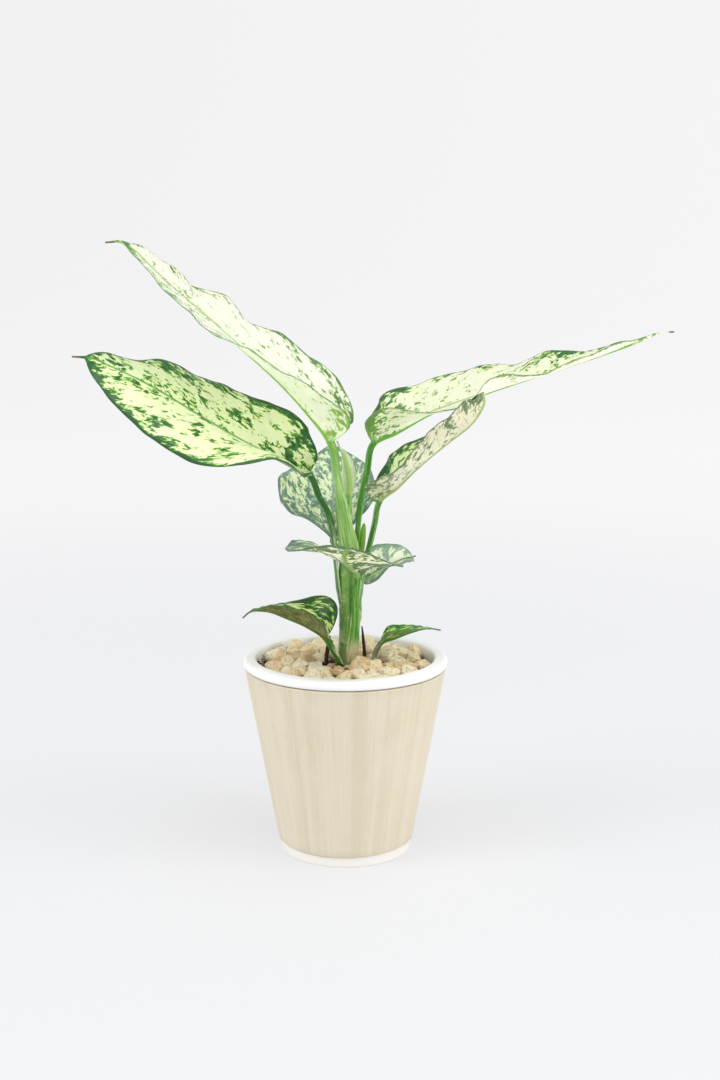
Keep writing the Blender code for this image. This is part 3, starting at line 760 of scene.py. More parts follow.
@dataclass
class Leaf:
    """One leaf with its sheath, stalk and blade; lengths in millimetres and angles in degrees.

    A foot is the sheath's half width and half thickness at its start, and a wave the height,
    count and left and right phase of the margin's ripple.
    """

    name: str
    stalk: Sequence[Point]
    rib: Sequence[Point]
    half_width: float
    belly: float
    facing: float
    seat: float
    fold_left: Sequence[float]
    fold_right: Sequence[float]
    finish: LeafFinish
    green_left: Sequence[float] = (0.0, 0.0, 0.0)
    green_right: Sequence[float] = (0.0, 0.0, 0.0)
    bend: tuple[float, float] = (-15.0, -15.0)
    roll: Sequence[float] = (0.0, 0.0)
    wave: tuple[float, float, float, float] = (0.6, 4.0, 0.0, 0.5)
    stalk_radius: float = 1.5
    foot: tuple[float, float] = (3.0, 0.6)
    sheath_share: float = 0.5
    base_round: float = 0.35
    tip_shape: tuple[float, float] = (2.2, 0.85)
    tail: float = 0.09
    point: float = 0.26
    withered: float = 0.035
    stalk_rows: int = 34
    blade_rows: int = 110
    span: int = 22
    rib_half: float = 0.31
    edge_half: float = 0.17
    least_half: float = 0.34
    groove_depth: float = 0.34
    groove_half: float = 0.9
    crinkle: float = 0.16
    swelling: float = 0.13
    vein_step: float = 7.5
    stem_radius: float = 4.6
    slot: Slot = Slot.LEAF
    tilt_step: float = 0.4
    tuck: float = 1.4

    def outline(self, along: np.ndarray) -> np.ndarray:
        """Half width as a share of the widest.

        Up to the widest part it is one less a power of the distance still to go, raised to the
        base's roundness; past it, one less a power of the distance gone, raised to the tip's. A
        straight taper to the very tip is the least that it can be there.

        Args:
            along: place on the blade, from 0 at the joint to 1 at the tip.

        Returns:
            The share at each place.
        """
        before = np.clip(along / self.belly, 0.0, 1.0)
        after = np.clip((along - self.belly) / (1.0 - self.tail - self.belly), 0.0, 1.0)
        base = (1.0 - (1.0 - before) ** 2.4) ** self.base_round
        tip = (1.0 - after ** self.tip_shape[0]) ** self.tip_shape[1]
        tip = np.maximum(tip, self.point * (1.0 - along) / (1.0 - self.belly))
        return np.where(along < self.belly, base, tip)

    def axes(
        self, ahead: np.ndarray, stalk_share: np.ndarray, along: np.ndarray
    ) -> tuple[np.ndarray, np.ndarray]:
        """Up and side directions of each section.

        Args:
            ahead: the midrib's direction at each section.
            stalk_share: place on the stalk, from 0 at its foot to 1 at the joint.
            along: place on the blade, from 0 at the joint to 1 at the tip.

        Returns:
            Up, which faces the stem on the stalk and the sky on the blade, and side, to the right.
        """
        turn = np.radians(self.seat + (self.facing - self.seat) * ease(stalk_share))
        outward = np.stack((np.cos(turn), np.sin(turn), np.zeros_like(turn)), axis=1)
        guide = np.array((0.0, 0.0, 1.0)) - 0.35 * outward
        up = unit(guide - (ahead * guide).sum(axis=1)[:, None] * ahead)
        side = np.cross(ahead, up)
        roll = np.radians(even_keys(self.roll, along))[:, None] * ease(along / 0.05)[:, None]
        return up * np.cos(roll) + side * np.sin(roll), side * np.cos(roll) - up * np.sin(roll)

    def sections(self) -> Sections:
        """Sizes and directions of every section, from the sheath's foot to the tip.

        Returns:
            The sections' values, by name.
        """
        points = np.array(tuple(self.stalk) + tuple(self.rib), float)
        keys = np.concatenate(([0.0], np.cumsum(np.linalg.norm(np.diff(points, axis=0), axis=1))))
        joint, length = keys[len(self.stalk)], keys[-1]
        even = np.linspace(0.0, 1.0, self.blade_rows)
        blade = joint + even**1.5 * (1.5 - 0.5 * even) * (length - joint)
        where = np.concatenate((np.linspace(0.0, joint, self.stalk_rows, endpoint=False), blade))
        step = self.tilt_step
        ahead = unit(smooth_through(keys, points, where + step) - smooth_through(keys, points, where - step))
        along = np.clip((where - joint) / (length - joint), 0.0, 1.0)
        stalk_share = np.clip(where / joint, 0.0, 1.0)
        up, side = self.axes(ahead, stalk_share, along)
        opening = 1.0 - ease(stalk_share / self.sheath_share)
        tucked = up * (self.tuck * (1.0 - ease(stalk_share / 0.2)))[:, None]
        rooted = 0.3 + 0.7 * np.sqrt(np.clip(stalk_share / 0.16, 0.0, 1.0))
        stalk_half = (self.stalk_radius + (self.foot[0] - self.stalk_radius) * opening) * rooted
        stalk_thick = self.stalk_radius + (self.foot[1] - self.stalk_radius) * opening
        rib = self.rib_half + (self.stalk_radius - self.rib_half) * (1.0 - along) ** 2.2
        rib = np.minimum(rib, 0.9 * self.half_width * (1.0 - along) + self.least_half)
        widest = np.maximum(self.half_width * self.outline(along), np.maximum(rib, self.least_half))
        on_blade = where >= joint
        half = np.where(on_blade, widest, stalk_half)
        thick = np.where(on_blade, rib, stalk_thick)
        return {
            "centre": smooth_through(keys, points, where) + tucked,
            "up": up,
            "side": side,
            "half": half,
            "thick": thick,
            "spread": ease((half / np.maximum(thick, 0.4) - 1.0) / 1.5) * on_blade,
            "along": along,
            "blade": on_blade.astype(float),
            "opening": opening,
            "distance": where - joint,
        }

    def skins(self, part: Sections, reach: np.ndarray, distance: np.ndarray) -> tuple[np.ndarray, ...]:
        """Thickness of one half of the leaf.

        The rod of the stalk and the midrib is a half circle in section that thins into the
        blade, and a shallow groove runs along it on the upper side.

        Args:
            part: sizes and directions from sections.
            reach: share of the way from the rib to the margin.
            distance: the same in millimetres.

        Returns:
            Heights of the upper and the lower skin over the middle of the sheet.
        """
        along, thick, width = part["along"], part["thick"][:, None], part["half"]
        merged = part["thick"] + (width - part["thick"]) * (1.0 - part["spread"])
        rod = np.where(part["blade"] > 0, merged, width)
        dome = np.sqrt(np.clip(1.0 - (distance / rod[:, None]) ** 2, 0.0, 1.0))
        thinning = np.sqrt(np.clip(1.0 - reach**2, 0.0, 1.0))
        sheet = self.edge_half + (self.rib_half - self.edge_half) * thinning
        below = sheet + (thick - self.rib_half) * dome
        above = sheet + (0.85 * thick - self.rib_half) * dome * (1.0 - 0.8 * ease(along / 0.1))[:, None]
        groove = self.groove_depth * np.exp(-((distance / self.groove_half) ** 2))
        groove = groove * ease(along / 0.08)[:, None] * part["spread"][:, None]
        return above - groove * (thick / (thick + 0.3)), below

    def lift(self, part: Sections, phase: float, reach: np.ndarray, distance: np.ndarray) -> np.ndarray:
        """Height of the waves of one half: a ripple and crinkles at the margin, and low swellings.

        The ripple grows with the square of the reach and the crinkles with its fourth power. The
        swellings stand between the side veins.

        Args:
            part: sizes and directions from sections.
            phase: where the ripple starts, in turns.
            reach: share of the way from the rib to the margin.
            distance: the same in millimetres.

        Returns:
            The height at each point.
        """
        along = part["along"]
        height, count = self.wave[:2]
        calm = np.sqrt(np.sin(math.pi * along)) * part["blade"]
        ripple = height * np.sin(math.tau * (count * along + phase)) * calm
        turns = 2.7 * count * along + 3.0 * phase + self.finish.seed
        fine = self.crinkle * np.sin(math.tau * turns) * calm
        lift = ripple[:, None] * reach**2 + fine[:, None] * reach**4
        vein = part["distance"][:, None] - VEIN_SLANT * distance - VEIN_CURVE * distance**2
        swell = self.swelling * np.cos(math.tau * vein / self.vein_step) * np.sin(math.pi * reach) ** 0.7
        return lift + swell * calm[:, None] * np.minimum(part["half"] / 12.0, 1.0)[:, None]

    def half_sheet(self, part: Sections, half: Half) -> dict[str, np.ndarray]:
        """Top and bottom of one half of the leaf.

        A half leaves the midrib at its fold angle and curls evenly: the distance out is the half
        width over the curl, times the sine at the margin less the sine at the rib, and the rise is
        the same with cosines. The waves lift it, and the two skins stand square to it.

        Args:
            part: sizes and directions from sections.
            half: which half.

        Returns:
            Top and bottom points and the distances that the markings need, from rib to margin.
        """
        sign = float(half.value)
        index = 0 if half is Half.LEFT else 1
        along, on_blade, width = part["along"], part["blade"], part["half"]
        steps = np.linspace(0.0, 1.0, self.span + 1)[None, :]
        reach = np.sin(0.5 * math.pi * steps) * (1.0 - part["spread"][:, None])
        reach = reach + steps**1.45 * part["spread"][:, None]
        distance = reach * width[:, None]
        folding = ease(along / 0.015) * on_blade
        hug = np.hypot(self.foot[0], self.stem_radius)
        wrap = part["opening"] * self.foot[0] / hug * 1.15 * (1.0 - on_blade)
        start = np.radians(even_keys((self.fold_left, self.fold_right)[index], along)) * folding
        curl = np.radians(self.bend[index]) * folding + wrap
        curl = np.where(np.abs(curl) < 0.001, 0.001, curl)
        angle = start[:, None] + curl[:, None] * reach
        out = width[:, None] / curl[:, None] * (np.sin(angle) - np.sin(start)[:, None])
        rise = width[:, None] / curl[:, None] * (np.cos(start)[:, None] - np.cos(angle))
        lift = self.lift(part, self.wave[2 + index], reach, distance)
        tilt = angle * ease(reach / 0.05)
        out, rise = out - lift * np.sin(tilt), rise + lift * np.cos(tilt)
        above, below = self.skins(part, reach, distance)
        path = (part["centre"], part["side"], part["up"])
        top, bottom = (
            carried(*path, sign * (out - y * np.sin(tilt)), rise + y * np.cos(tilt)) for y in (above, -below)
        )
        green = even_keys((self.green_left, self.green_right)[index], along)
        return {
            "top": top,
            "bottom": bottom,
            "across": sign * distance,
            "edge": width[:, None] - distance,
            "amount": green[:, None] * np.ones_like(reach),
        }

    def build(self) -> tuple[np.ndarray, Faces, dict[str, np.ndarray]]:
        """Points, faces and attributes of the whole leaf as one closed skin.

        Each section is a ring: the top from the left margin to the right one, then the underside
        back. The rings are joined by quads and both ends are closed.

        Returns:
            The points in millimetres, the faces and the two vector attributes.
        """
        part = self.sections()
        left, right = self.half_sheet(part, Half.LEFT), self.half_sheet(part, Half.RIGHT)

        def across(key: str) -> np.ndarray:
            """The whole width of a quantity, from the left margin to the right one."""
            return np.concatenate((left[key][:, :0:-1], right[key]), axis=1)

        def around(key: str) -> np.ndarray:
            """A quantity carried over the top and back along the underside."""
            return np.concatenate((across(key), across(key)[:, ::-1]), axis=1)

        ring = np.concatenate((across("top"), across("bottom")[:, ::-1]), axis=1)
        rows, columns = ring.shape[:2]
        face_up = np.zeros((rows, columns))
        face_up[:, : columns // 2] = 1.0
        distance = np.repeat(part["distance"][:, None], columns, axis=1)
        withered = ease((part["along"] - 1.0 + self.withered) / (0.4 * self.withered))
        kind = np.where(part["distance"] < 0.0, -part["opening"], ease(part["distance"] / 1.5)) + withered
        zone = np.repeat(kind[:, None], columns, axis=1)
        blade = np.stack((distance, around("across"), around("edge")), axis=-1)
        kinds = np.stack((zone, face_up, around("amount")), axis=-1)
        return ring, rod_faces(rows, columns), {BLADE_ATTRIBUTE: blade, ZONE_ATTRIBUTE: kinds}

    def make(self) -> None:
        """Builds the leaf and dresses it."""
        thing = put_mesh(self.name + "_blade", *self.build())
        dress(thing, self.finish.material(self.name), self.slot, self.name)


@dataclass(frozen=True)
class PotFinish:
    """White moulded pot with a soft gloss and faint unevenness."""

    white: Colour = srgb(252, 252, 251)
    warm: Colour = srgb(240, 234, 226)
    roughness: float = 0.3

    def material(self) -> bpy.types.Material:
        """The pot's material: a little warmer towards the foot, with dull patches.

        Returns:
            The material.
        """
        made, w, shader = new_material("pot_white")
        place = w.place()
        mottle = w.group(Effect.MOTTLE, Place=place, Size=0.03)
        low = w.step(w.parts(place)[2], 0.03, 0.004)
        look = {
            "Base Color": w.mix(w.plus(w.times(mottle["Tone"], 0.12), low, 0.7), self.white, self.warm),
            "Roughness": w.plus(self.roughness - 0.05, mottle["Tone"], 0.15),
            "Normal": w.bump(mottle["Height"], 0.05, 0.0002),
            "Specular IOR Level": 0.5,
        }
        w.feed(shader, look)
        return made


@dataclass
class Pot:
    """White inner pot: flared wall, rounded lip, a foot with a step, and drain holes."""

    finish: PotFinish
    height: float = 85.5
    rim: float = 44.0
    rim_inner: float = 38.4
    rim_height: float = 4.3
    rim_step: float = 0.6
    foot: float = 28.2
    foot_height: float = 4.6
    foot_round: float = 0.8
    floor: float = 2.4
    wall: float = 1.7
    outer_low: float = 27.0
    outer_high: float = 41.0
    wall_low_z: float = 4.9
    wall_high_z: float = 80.9
    lip_round: float = 1.2
    lip_flat: float = 2.2
    drains: int = 4
    drain_radius: float = 1.8
    drain_circle: float = 15.0
    drain_steps: int = 28
    steps: int = 144

    def outer(self, z: float) -> float:
        """Outer radius of the wall at a height."""
        share = (z - self.wall_low_z) / (self.wall_high_z - self.wall_low_z)
        return self.outer_low + (self.outer_high - self.outer_low) * share

    def inner(self, z: float) -> float:
        """Inner radius of the wall at a height."""
        low = self.outer(self.foot_height) - self.wall
        return low + (self.rim_inner - low) * (z - self.floor) / (self.height - self.floor)

    def profile(self) -> np.ndarray:
        """The pot's section.

        Returns:
            Radius and height from the underside's centre, up the outside and down the inside.
        """
        lip, edge = 0.5 * self.rim_height, self.foot_round
        rim_z = self.height - self.rim_height
        rows = [
            [(0.0, 0.0), (self.foot - edge, 0.0)],
            arc((self.foot - edge, edge), edge, -90, 0, 7)[1:],
            arc((self.foot - edge, self.foot_height - edge), edge, 0, 90, 7),
            [(self.outer(self.foot_height), self.foot_height), (self.outer(rim_z), rim_z)],
            [(self.rim - lip - self.rim_step, rim_z)],
            arc((self.rim - lip, self.height - lip), lip, -70, 90, 19),
            [(self.rim_inner + self.lip_flat, self.height)],
            arc((self.rim_inner + self.lip_round, self.height - self.lip_round), self.lip_round, 90, 170, 9),
            [(self.inner(60.0), 60.0), (self.inner(30.0), 30.0)],
            [(self.inner(self.floor), self.floor), (0.0, self.floor)],
        ]
        return np.concatenate([np.asarray(r, float) for r in rows])

    def cutter(self, index: int) -> bpy.types.Object:
        """A bar that cuts one drain hole.

        Args:
            index: the hole's number.

        Returns:
            The bar.
        """
        angle = math.tau * (index + 0.5) / self.drains
        low, high, radius = -2.0, 5.0, self.drain_radius
        section = np.array([(0.0, low), (radius, low), (radius, high), (0.0, high)])
        points, faces = lathe(section, self.drain_steps)
        shift = (self.drain_circle * math.cos(angle), self.drain_circle * math.sin(angle), 0.0)
        return put_mesh(f"drain_{index + 1}", points + shift, faces)

    def make(self) -> None:
        """Turns the pot, cuts the drain holes and dresses it."""
        thing = put_mesh("pot_shell", *lathe(self.profile(), self.steps))
        cutters = [self.cutter(index) for index in range(self.drains)]
        for cutter in cutters:
            cut = thing.modifiers.new("drain", "BOOLEAN")
            cut.operation, cut.solver, cut.object = "DIFFERENCE", "EXACT", cutter
        bpy.context.view_layer.update()
        ready = thing.evaluated_get(bpy.context.evaluated_depsgraph_get())
        data = bpy.data.meshes.new_from_object(ready)
        thing.modifiers.clear()
        thing.data = data
        for cutter in cutters:
            bpy.data.objects.remove(cutter, do_unlink=True)
        thing.data.shade_smooth()
        thing.data.set_sharp_from_angle(angle=math.radians(38.0))
        dress(thing, self.finish.material(), Slot.POT, "inner_pot")


@dataclass(frozen=True)
class WoodFinish:
    """Pale matt wood: fine upright grain, soft bands, a partly painted highlight and tiny dark flecks."""

    pale: Colour = srgb(228, 218, 196)
    deep: Colour = srgb(219, 208, 183)
    line: Colour = srgb(193, 178, 145)
    painted_grain_highlight: Colour = srgb(240, 232, 214)
    knot: Colour = srgb(96, 70, 44)
    stretch: float = 60.0
    roughness: float = 0.62

    def material(self) -> bpy.types.Material:
        """The sleeve's material, with its grain along the taper.

        Returns:
            The material.
        """
        made, w, shader = new_material("sleeve_grain")
        grain = w.attribute(GRAIN_ATTRIBUTE)
        fibre = w.group(Effect.FIBRE, Place=w.scaled(grain, 0.5, 0.5, 0.5), Stretch=self.stretch)
        fine = w.group(Effect.FIBRE, Place=w.scaled(grain, 1.15, 1.15, 1.15), Stretch=self.stretch)["Lines"]
        mottle = w.group(Effect.MOTTLE, Place=grain, Size=30.0)
        tone = w.plus(fibre["Bands"], w.math("SUBTRACT", mottle["Tone"], 0.5), 0.8)
        speck = w.cells(w.scaled(grain, 0.16, 0.16, 0.11), 1.0)
        colour = w.coats(
            self.pale,
            (self.deep, w.step(tone, 0.3, 0.75)),
            (self.line, w.step(fibre["Lines"], 0.5, 0.72), 0.12),
            (self.line, w.step(fine, 0.5, 0.7), 0.3),
            # Partly painted highlight: a pale colour between the fine grain lines, standing in for light
            # catching the raised fibres as well as the wood's own paler grain.
            (self.painted_grain_highlight, w.step(fine, 0.42, 0.25), 0.35),
            (self.knot, w.step(speck, 0.034, 0.018), 0.75),
        )
        look = {
            "Base Color": colour,
            "Roughness": w.plus(self.roughness - 0.1, fibre["Lines"], 0.2),
            "Normal": w.bump(w.plus(fibre["Lines"], fine, 0.6), 0.25, 0.0002),
            "Specular IOR Level": 0.35,
        }
        w.feed(shader, look)
        return made


@dataclass
class Sleeve:
    """Wood sleeve: a tapered ring with eased edges."""

    finish: WoodFinish
    top_radius: float = 43.3
    bottom_radius: float = 29.3
    wall: float = 2.0
    low: float = 4.9
    high: float = 80.9
    edge: float = 0.6
    inner_edge: float = 0.3
    rows: int = 24
    steps: int = 160

    def profile(self) -> np.ndarray:
        """The sleeve's section.

        Returns:
            Radius and height up the outside and down the inside.
        """
        heights = np.linspace(self.low + self.edge, self.high - self.edge, self.rows)
        share = (heights - self.low) / (self.high - self.low)
        radii = self.bottom_radius + (self.top_radius - self.bottom_radius) * share
        low_in, high_in = self.bottom_radius - self.wall, self.top_radius - self.wall
        edge, ease_in = self.edge, self.inner_edge
        rows = (
            arc((self.bottom_radius - edge, self.low + edge), edge, -90, -15, 6),
            np.stack((radii, heights), axis=1),
            arc((self.top_radius - edge, self.high - edge), edge, 15, 90, 6),
            [(high_in + ease_in, self.high), (high_in, self.high - ease_in)],
            [(low_in, self.low + ease_in), (low_in + ease_in, self.low)],
        )
        return np.concatenate(rows)

    def make(self) -> None:
        """Turns the ring and stores grain coordinates that follow the taper.

        The grain place is the unit direction from the axis times the top radius, with the
        height as its third number, so lines run down the wall and meet without a seam.
        """
        points, faces = lathe(self.profile(), self.steps, closed_ring=True)
        around = np.arctan2(points[:, 1], points[:, 0])
        x, y = self.top_radius * np.cos(around), self.top_radius * np.sin(around)
        grain = np.stack((x, y, points[:, 2]), axis=1)
        thing = put_mesh("sleeve_shell", points, faces, {GRAIN_ATTRIBUTE: grain}, sharp=38.0)
        dress(thing, self.finish.material(), Slot.WOOD, "wood_sleeve")


@dataclass(frozen=True)
class SoilFinish:
    """Dark crumbly soil."""

    dark: Colour = srgb(46, 34, 26)
    light: Colour = srgb(98, 78, 58)

    def material(self) -> bpy.types.Material:
        """The soil's material.

        Returns:
            The material.
        """
        made, w, shader = new_material("soil_crumb")
        mottle = w.group(Effect.MOTTLE, Place=w.place(), Size=0.004)
        look = {
            "Base Color": w.mix(w.step(mottle["Tone"], 0.35, 0.7), self.dark, self.light),
            "Roughness": w.remap(mottle["Tone"], 0.0, 1.0, 0.8, 1.0),
            "Normal": w.bump(mottle["Height"], 0.8, 0.0006),
        }
        w.feed(shader, look)
        return made


@dataclass(frozen=True)
class StoneFinish:
    """Tan pumice: each stone has its own tone and pores, with painted shade on the side that faces down to
    the soil.
    """

    pale: Colour = srgb(255, 242, 211)
    mid: Colour = srgb(250, 228, 185)
    brown: Colour = srgb(222, 191, 144)
    pore_and_shade: Colour = srgb(86, 64, 34)

    def material(self) -> bpy.types.Material:
        """The stones' material.

        Returns:
            The material.
        """
        made, w, shader = new_material("pumice_grain")
        place = w.place()
        tone, lift, _ = w.parts(w.attribute(GRAIN_ATTRIBUTE))
        mottle = w.group(Effect.MOTTLE, Place=place, Size=0.0045)
        mixed = w.plus(tone, w.math("SUBTRACT", mottle["Tone"], 0.5), 1.3)
        hole = w.times(w.step(w.cells(place, 900.0), 0.42, 0.2), w.step(mottle["Tone"], 0.38, 0.55))
        colour = w.coats(
            self.brown,
            (self.mid, w.step(mixed, 0.08, 0.48)),
            (self.pale, w.step(mixed, 0.35, 0.85)),
            (self.pore_and_shade, hole, 0.28),
            # Painted shade: the downward side of each stone turns towards the dark brown, as shade under and
            # between the stones.
            (self.pore_and_shade, w.step(lift, 0.4, -0.32), 0.9),
        )
        height = w.math("SUBTRACT", mottle["Height"], w.times(hole, 0.8))
        look = {
            "Base Color": colour,
            "Roughness": w.remap(mottle["Tone"], 0.0, 1.0, 0.8, 0.98),
            "Normal": w.bump(height, 0.9, 0.0006),
            "Specular IOR Level": 0.3,
        }
        w.feed(shader, look)
        return made


@dataclass
class WallCrumbs:
    """Small crumbs of soil that cling to the pot's inner wall above the gravel."""

    finish: SoilFinish
    pot: Pot
    count: int = 46
    seed: int = 6
    side: tuple[float, float] = (128.0, 184.0)
    low: float = 79.4
    high: float = 84.2
    squash: Point = (0.8, 1.2, 0.9)
    rows: int = 6
    columns: int = 9

    def make(self) -> None:
        """Lays small lumps along the wall: a ball's radius waved by sines, flattened against the wall."""
        rng = np.random.default_rng(self.seed)
        turn = np.radians(rng.uniform(*self.side, self.count))
        height = np.clip(self.low + 0.4 + np.abs(rng.normal(0.0, 2.2, self.count)), self.low, self.high)
        size = rng.uniform(0.14, 0.3, self.count) + 0.42 * rng.uniform(0.0, 1.0, self.count) ** 9
        wall = np.array([self.pot.inner(z) for z in height]) - 0.5 * size
        down, around, ball = ball_grid(self.rows, self.columns)
        shift = rng.uniform(0.0, math.tau, (self.count, 1, 1))
        wave = 1.0 + 0.25 * np.sin(3.0 * around[None] + shift) * np.sin(down)[None]
        lumps = spun(ball[None] * wave[..., None] * size[:, None, None, None] * self.squash, turn)
        centre = np.stack((wall * np.cos(turn), wall * np.sin(turn), height), axis=-1)
        faces = ball_faces(self.count, self.rows, self.columns)
        thing = put_mesh("wall_crumbs", lumps + centre[:, None, None, :], faces)
        drop_unused(thing)
        dress(thing, self.finish.material(), Slot.SOIL)


@dataclass
class Gravel:
    """Pumice stones laid in a sunflower's spiral on a mounded bed, with smaller ones between.

    Each room is a place on the bed and the radius that the stones leave free there for a stalk.
    """

    finish: StoneFinish
    pot: Pot
    bed_z: float = 79.5
    mound: float = 1.6
    lean: float = 1.5
    stone: float = 4.4
    count: int = 70
    seed: int = 11
    low_z: float = 74.3
    sink: float = 1.6
    sides: int = 14
    edge_power: float = 60.0
    rows: int = 24
    columns: int = 40
    small_count: int = 74
    small_rows: int = 10
    small_columns: int = 15
    rooms: Sequence[Point] = (
        (0.1, -1.0, 7.2), (12.0, -2.0, 4.6), (8.2, -0.4, 3.2), (-8.1, 0.6, 3.4), (-4.2, -4.8, 7.6),
    )
    small_rooms: Sequence[Point] = (
        (0.9, 0.0, 5.4), (12.0, -2.0, 3.4), (8.2, -0.4, 2.6), (-8.1, 0.6, 2.8), (-3.4, -4.2, 2.2),
    )
    by_the_stem: Sequence[tuple[Point, float]] = (
        ((-5.7, -2.4, 80.3), 2.5), ((-6.6, -5.2, 80.5), 2.3), ((-2.9, -6.3, 80.4), 2.2),
    )

    def spare(self, x: float, y: float, rooms: Sequence[Point]) -> float:
        """How far a place is from the edge of the nearest room."""
        return min(math.hypot(x - cx, y - cy) - radius for cx, cy, radius in rooms)

    def bed(self, x: float, y: float, reach: float) -> float:
        """Height of the bed, which falls with the square of the distance and leans to the front left."""
        rise = self.mound * (1.0 - (x * x + y * y) / reach**2)
        return self.bed_z + rise + self.lean * (0.4 * x + y) / reach

    def large(self) -> list[Stone]:
        """Large stones, by the same rule as in the packed gravel.

        Returns:
            Centre, size and squash of each.
        """
        draw = random.Random(self.seed)
        wall = self.pot.inner(self.bed_z) - 0.4
        reach = wall - 0.8 * self.stone
        found = []
        for index in range(self.count):
            size = self.stone * draw.uniform(0.78, 1.12)
            squash = np.array((draw.uniform(0.85, 1.12), draw.uniform(0.8, 1.1), draw.uniform(0.65, 0.85)))
            # The packed gravel draws three more numbers here, for the turn of its stones
            for _ in range(3):
                draw.random()
            far = min(reach * math.sqrt((index + 0.5) / self.count), wall - size * float(squash.max()))
            turn = index * GOLDEN_TURN + draw.uniform(-0.06, 0.06)
            x, y = far * math.cos(turn), far * math.sin(turn)
            if self.spare(x, y, self.rooms) >= 0.0:
                found.append((np.array((x, y, self.bed(x, y, reach) + 0.3 * size)), size, squash))
        return found

    def small(self) -> list[Stone]:
        """Smaller stones that fill the gaps, on a tighter spiral just above the bed.

        Returns:
            Centre, size and squash of each.
        """
        draw = random.Random(self.seed + 1)
        wall = self.pot.inner(self.bed_z) - 0.5
        found = []
        for index in range(self.small_count):
            size = draw.uniform(1.6, 2.7)
            far = (wall - size * 1.05) * math.sqrt((index + 0.5) / self.small_count)
            turn = index * GOLDEN_TURN + draw.uniform(-0.2, 0.2)
            x, y = far * math.cos(turn), far * math.sin(turn)
            squash = np.array((draw.uniform(0.8, 1.1), draw.uniform(0.8, 1.1), draw.uniform(0.7, 0.9)))
            if self.spare(x, y, self.small_rooms) >= size * 0.4:
                height = self.bed(x, y, wall) + draw.uniform(-0.9, 0.3)
                found.append((np.array((x, y, height)), size, squash))
        squash = np.array((1.0, 0.9, 0.8))
        return found + [(np.array(place), size, squash) for place, size in self.by_the_stem]

    def stones(
        self, spots: list[Stone], rows: int, columns: int, seed: int
    ) -> tuple[np.ndarray, Faces, np.ndarray]:
        """Lumpy stones, all at once.

        A stone is cut by flat sides. Its radius in a direction is one over the sixtieth root of the
        sum, over its sides, of the sixtieth power of the direction's share along the side's normal
        over the side's distance, so the sides meet in rounded edges. Sines along scattered
        directions roughen it.

        Args:
            spots: centre, size and squash of each stone.
            rows, columns: the grid of latitudes and longitudes.
            seed: seed of the sides.

        Returns:
            The points, the faces, and for each point its stone's tone and how far up it faces.
        """
        rng = np.random.default_rng(seed)
        count, sides, power = len(spots), self.sides, self.edge_power
        down, _, ball = ball_grid(rows, columns)
        normals = unit(rng.normal(size=(count, sides, 3)))
        distances = rng.uniform(0.74, 1.0, size=(count, sides))
        along = np.clip(np.einsum("rci,ski->srck", ball, normals), 0.0, None) / distances[:, None, None, :]
        radius = np.clip((along**power).sum(-1) ** (-1.0 / power), 0.6, 1.34)
        tones = rng.uniform(0.15, 1.0, size=count)
        waves = unit(rng.normal(size=(count, sides, 3))) * np.geomspace(3.0, 17.0, sides)[None, :, None]
        turns = rng.uniform(0.0, math.tau, size=(count, sides))[:, None, None, :]
        sines = np.sin(np.einsum("rci,ski->srck", ball, waves) + turns)
        rough = (sines / np.geomspace(1.0, 3.0, sides)).sum(-1)
        radius = radius * (1.0 + 0.028 * rough * np.sin(down)[None, :, :])
        for pole in (0, -1):
            radius[:, pole, :] = radius[:, pole, :].mean(axis=1)[:, None]
        sizes = np.array([size for _, size, _ in spots])[:, None, None, None]
        squash = np.array([squash for _, _, squash in spots])[:, None, None, :] * (1.0, 1.0, 1.16)
        shaped = radius[..., None] * ball[None] * sizes * squash
        turned = spun(shaped, rng.uniform(0.0, math.tau, size=count))
        placed = turned + np.array([centre for centre, _, _ in spots])[:, None, None, :]
        tone = np.repeat(tones, rows * columns)
        # How far up each point faces, which the material turns into painted shade on the downward side.
        upward = np.broadcast_to(np.cos(down)[None, :, :], (count, rows, columns)).reshape(-1)
        looks = np.stack((tone, upward, np.zeros_like(tone)), axis=1)
        return placed.reshape(-1, 3), ball_faces(count, rows, columns), looks

    def make(self) -> None:
        """Builds bed, stones and filling stones as one piece and dresses it."""
        edge, crown = self.pot.inner(self.low_z) - 0.3, self.bed_z + 0.6
        low = [(0.0, self.low_z), (edge, self.low_z), (edge, self.bed_z - self.sink)]
        high = [(edge - 4.0, self.bed_z - 0.8), (10.0, crown), (0.0, crown)]
        points, faces = lathe(np.array(low + high), 72)
        # The bed takes a low tone and faces wholly down, so it gets the full painted shade and reads as dark
        # gaps.
        blocks, looks = [points], [np.tile((0.05, -1.0, 0.0), (len(points), 1))]
        # The smaller stones lie in the gaps; their tone and upward share are lowered by shade, painting them
        # darker as shade between the large stones.
        for spots, rows, columns, seed, shade in (
            (self.large(), self.rows, self.columns, self.seed, 0.0),
            (self.small(), self.small_rows, self.small_columns, self.seed + 5, 0.5),
        ):
            start = sum(len(block) for block in blocks)
            points, quads, look = self.stones(spots, rows, columns, seed)
            faces += [[start + corner for corner in face] for face in quads]
            blocks.append(points)
            looks.append(look - (0.5 * shade, shade, 0.0))
        grain = {GRAIN_ATTRIBUTE: np.concatenate(looks)}
        thing = put_mesh("gravel_stones", np.concatenate(blocks), faces, grain, sharp=20.0)
        drop_unused(thing)
        dress(thing, self.finish.material(), Slot.STONE, "gravel")


